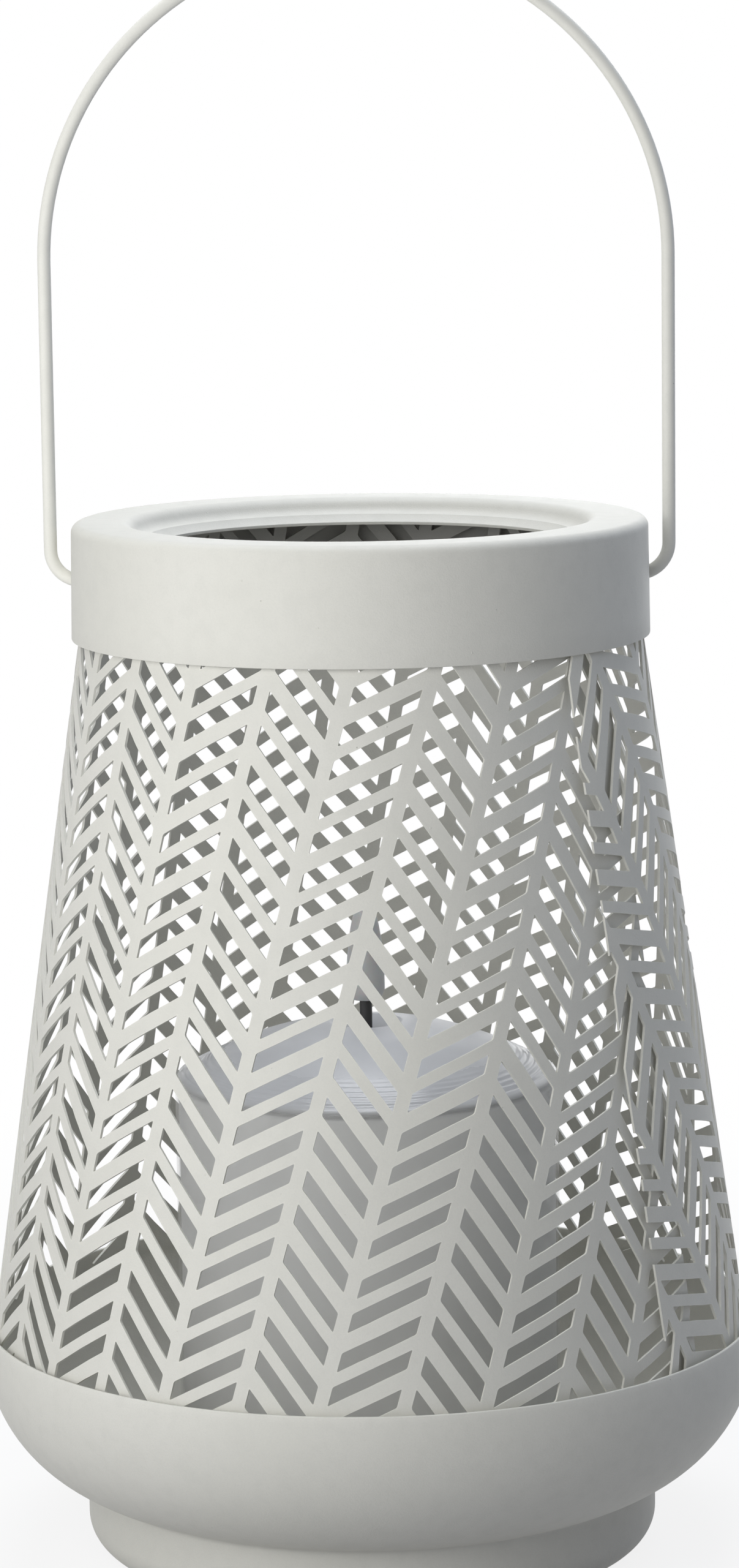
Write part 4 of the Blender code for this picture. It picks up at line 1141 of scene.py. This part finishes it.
# %% Bail
BAIL_WIRE = 2.5 * MM
BAIL_SIDES = 20
BAIL_SPREAD = 58.7 * MM
BAIL_LEG = 60.0 * MM
BAIL_BEND = 5.9 * MM
BAIL_TIP = 51.3 * MM


def make_bail():
    wall = COLLAR_RADIUS - 0.5 * COLLAR_TAPER - 0.5 * COLLAR_WALL
    inner = BAIL_SPREAD - BAIL_BEND
    sink = math.sqrt(BAIL_BEND ** 2 - (wall - inner) ** 2)
    half = [(BAIL_TIP, sink - BAIL_BEND)]
    half += arc((inner, sink), BAIL_BEND, -QUARTER, 0.0, count=12)
    half += [(BAIL_SPREAD, BAIL_LEG * share) for share in (0.25, 0.5, 0.75)]
    half += arc((0.0, BAIL_LEG), BAIL_SPREAD, 0.0, QUARTER, count=40)
    line = [(-x, z) for x, z in half[:-1]] + half[::-1]
    points = [PIVOT + Vector((x, 0.0, z)) for x, z in line]
    return round_wire("wire_bail", points, 0.5 * BAIL_WIRE, BAIL_SIDES, "wire_coat")


hand_over(make_bail(), "powder_coat", "bail", "bail_handle")

# %% [markdown]
# ## The battery candle
#
# Through the slots shows a pillar candle: a clear shell with a low ringed dome, a frosted core, a black
# wick and a small flame. All are round about one axis, so they are turned like the bowl. The rings of the
# dome are real ridges, because their glints run round the dome as the view moves. A clear wall works as a
# lens and makes the core behind it look as wide as the shell, so the shell is drawn as a thin skin and the
# core nearly fills it.

# %% Shell and core
CANDLE_RADIUS = 37.0 * MM
SHELL_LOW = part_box("candle_shell")[0].z
DOME_TOP = 102.5 * MM
CANDLE_DOME = 10.0 * MM
CANDLE_DISH = 2.4 * MM
DISH_RADIUS = 7.0 * MM
SHOULDER_ROUND = 1.5 * MM
SKIN = 0.4 * MM
CORE_WALL = 1.0 * MM
CORE_RADIUS = 36.3 * MM
CORE_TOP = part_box("candle_core")[1].z
STEM_RADIUS = 1.2 * MM
STEM_BORE = 0.85 * MM
RING_PITCH = 1.3 * MM
RING_HEIGHT = 0.11 * MM
RINGS_FROM = 0.76
STEM_GAP = 0.3 * MM
CORE_EDGE = 0.8 * MM
SKIN_EDGE = 0.1 * MM
DOME_STEPS = 170
CANDLE_SIDES = 128


def make_shell():
    hole = STEM_RADIUS + STEM_GAP
    flat = CANDLE_RADIUS - SHOULDER_ROUND
    shoulder = DOME_TOP - CANDLE_DOME
    section = []
    for i in range(DOME_STEPS + 1):
        radius = hole + (flat - hole) * i / DOME_STEPS
        share = radius / flat
        dish = CANDLE_DISH * max(0.0, 1.0 - (radius / DISH_RADIUS) ** 2)
        fade = max(0.0, (share - RINGS_FROM) / (1.0 - RINGS_FROM))
        ring = RING_HEIGHT * fade * math.sin(2.0 * math.pi * radius / RING_PITCH)
        section.append((radius, DOME_TOP - CANDLE_DOME * share * share - dish + ring))
    section += arc((flat, shoulder - SHOULDER_ROUND), SHOULDER_ROUND, QUARTER, 0.0, count=6)[1:]
    section += [(CANDLE_RADIUS, shoulder * 0.7), (CANDLE_RADIUS, shoulder * 0.4), (CANDLE_RADIUS, SHELL_LOW)]
    return thicken(turned("candle_dome_shell", section, "clear_plastic", CANDLE_SIDES), SKIN, SKIN_EDGE)


def make_core():
    section = [(STEM_BORE, CORE_TOP), (0.5 * CORE_RADIUS, CORE_TOP)]
    section += arc((CORE_RADIUS - CORE_EDGE, CORE_TOP - CORE_EDGE), CORE_EDGE, QUARTER, 0.0, count=5)
    section += [(CORE_RADIUS, 0.5 * CORE_TOP), (CORE_RADIUS, SHELL_LOW)]
    core = turned("candle_frosted_core", section, "frosted_plastic", CANDLE_SIDES)
    return thicken(core, CORE_WALL, SKIN_EDGE)


hand_over(make_shell(), "clear_plastic", "candle", "candle_shell")
hand_over(make_core(), "frosted_plastic", "candle", "candle_core")

# %% Wick and flame
FLAME_RADIUS = 3.7 * MM
FLAME_WALL = 0.9 * MM
FLAME_WIDEST = 0.1
FLAME_FOOT = 0.72
FLAME_HOLLOW = 0.72
FLAME_STEPS = 40
HOLLOW_STEPS = 20
FLAME_SIDES = 48
WICK_EDGE = 0.2 * MM
WICK_SIDES = 32


def flame_radius(t):
    """Radius of the flame at a share of its height."""
    if t < FLAME_WIDEST:
        return FLAME_RADIUS * (FLAME_FOOT + (1.0 - FLAME_FOOT) * math.sin(QUARTER * t / FLAME_WIDEST))
    u = (t - FLAME_WIDEST) / (1.0 - FLAME_WIDEST)
    return FLAME_RADIUS * math.sqrt(max(0.0, 1.0 - u * u))


def make_flame():
    low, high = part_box("flame")
    tall = high.z - low.z
    section = [(0.0, high.z)]
    for i in range(1, FLAME_STEPS + 1):
        t = 1.0 - i / FLAME_STEPS
        section.append((flame_radius(t), low.z + tall * t))
    for i in range(HOLLOW_STEPS):
        t = FLAME_HOLLOW * i / HOLLOW_STEPS
        narrow = FLAME_WALL + (flame_radius(FLAME_HOLLOW) - FLAME_WALL) * (i / HOLLOW_STEPS) ** 3
        section.append((flame_radius(t) - narrow, low.z + tall * t))
    section.append((0.0, low.z + tall * FLAME_HOLLOW))
    return smooth(turned("flame_teardrop", section, "flame_plastic", FLAME_SIDES))


def make_wick():
    low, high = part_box("wick_stem")
    section = [(STEM_BORE, low.z), (STEM_BORE, high.z)]
    section += arc((STEM_RADIUS - WICK_EDGE, high.z - WICK_EDGE), WICK_EDGE, QUARTER, 0.0, count=4)
    section += [(STEM_RADIUS, low.z), (STEM_BORE, low.z)]
    return smooth(turned("black_wick", section, "black_plastic", WICK_SIDES))


hand_over(make_flame(), "flame_plastic", "candle", "flame")
hand_over(make_wick(), "black_plastic", "candle", "wick_stem")

# %% [markdown]
# ## Pieces inside the candle
#
# The remaining solids already have the right shape, so they stay as they are and only get their finish. The
# record names the finish of each, which keeps the two models in step.

# %% Finish the remaining solids


def finish_solids():
    slots = {part["node"]: part["material_slot"] for part in frame["record"]["subparts"]}
    finished = []
    for name, solid in frame["nodes"].items():
        if solid.hide_render:
            continue
        solid.data.materials.clear()
        solid.data.materials.append(FINISHES[slots[name]])
        finished.append(name)
    return finished


print("finished solids:", ", ".join(sorted(finish_solids())))
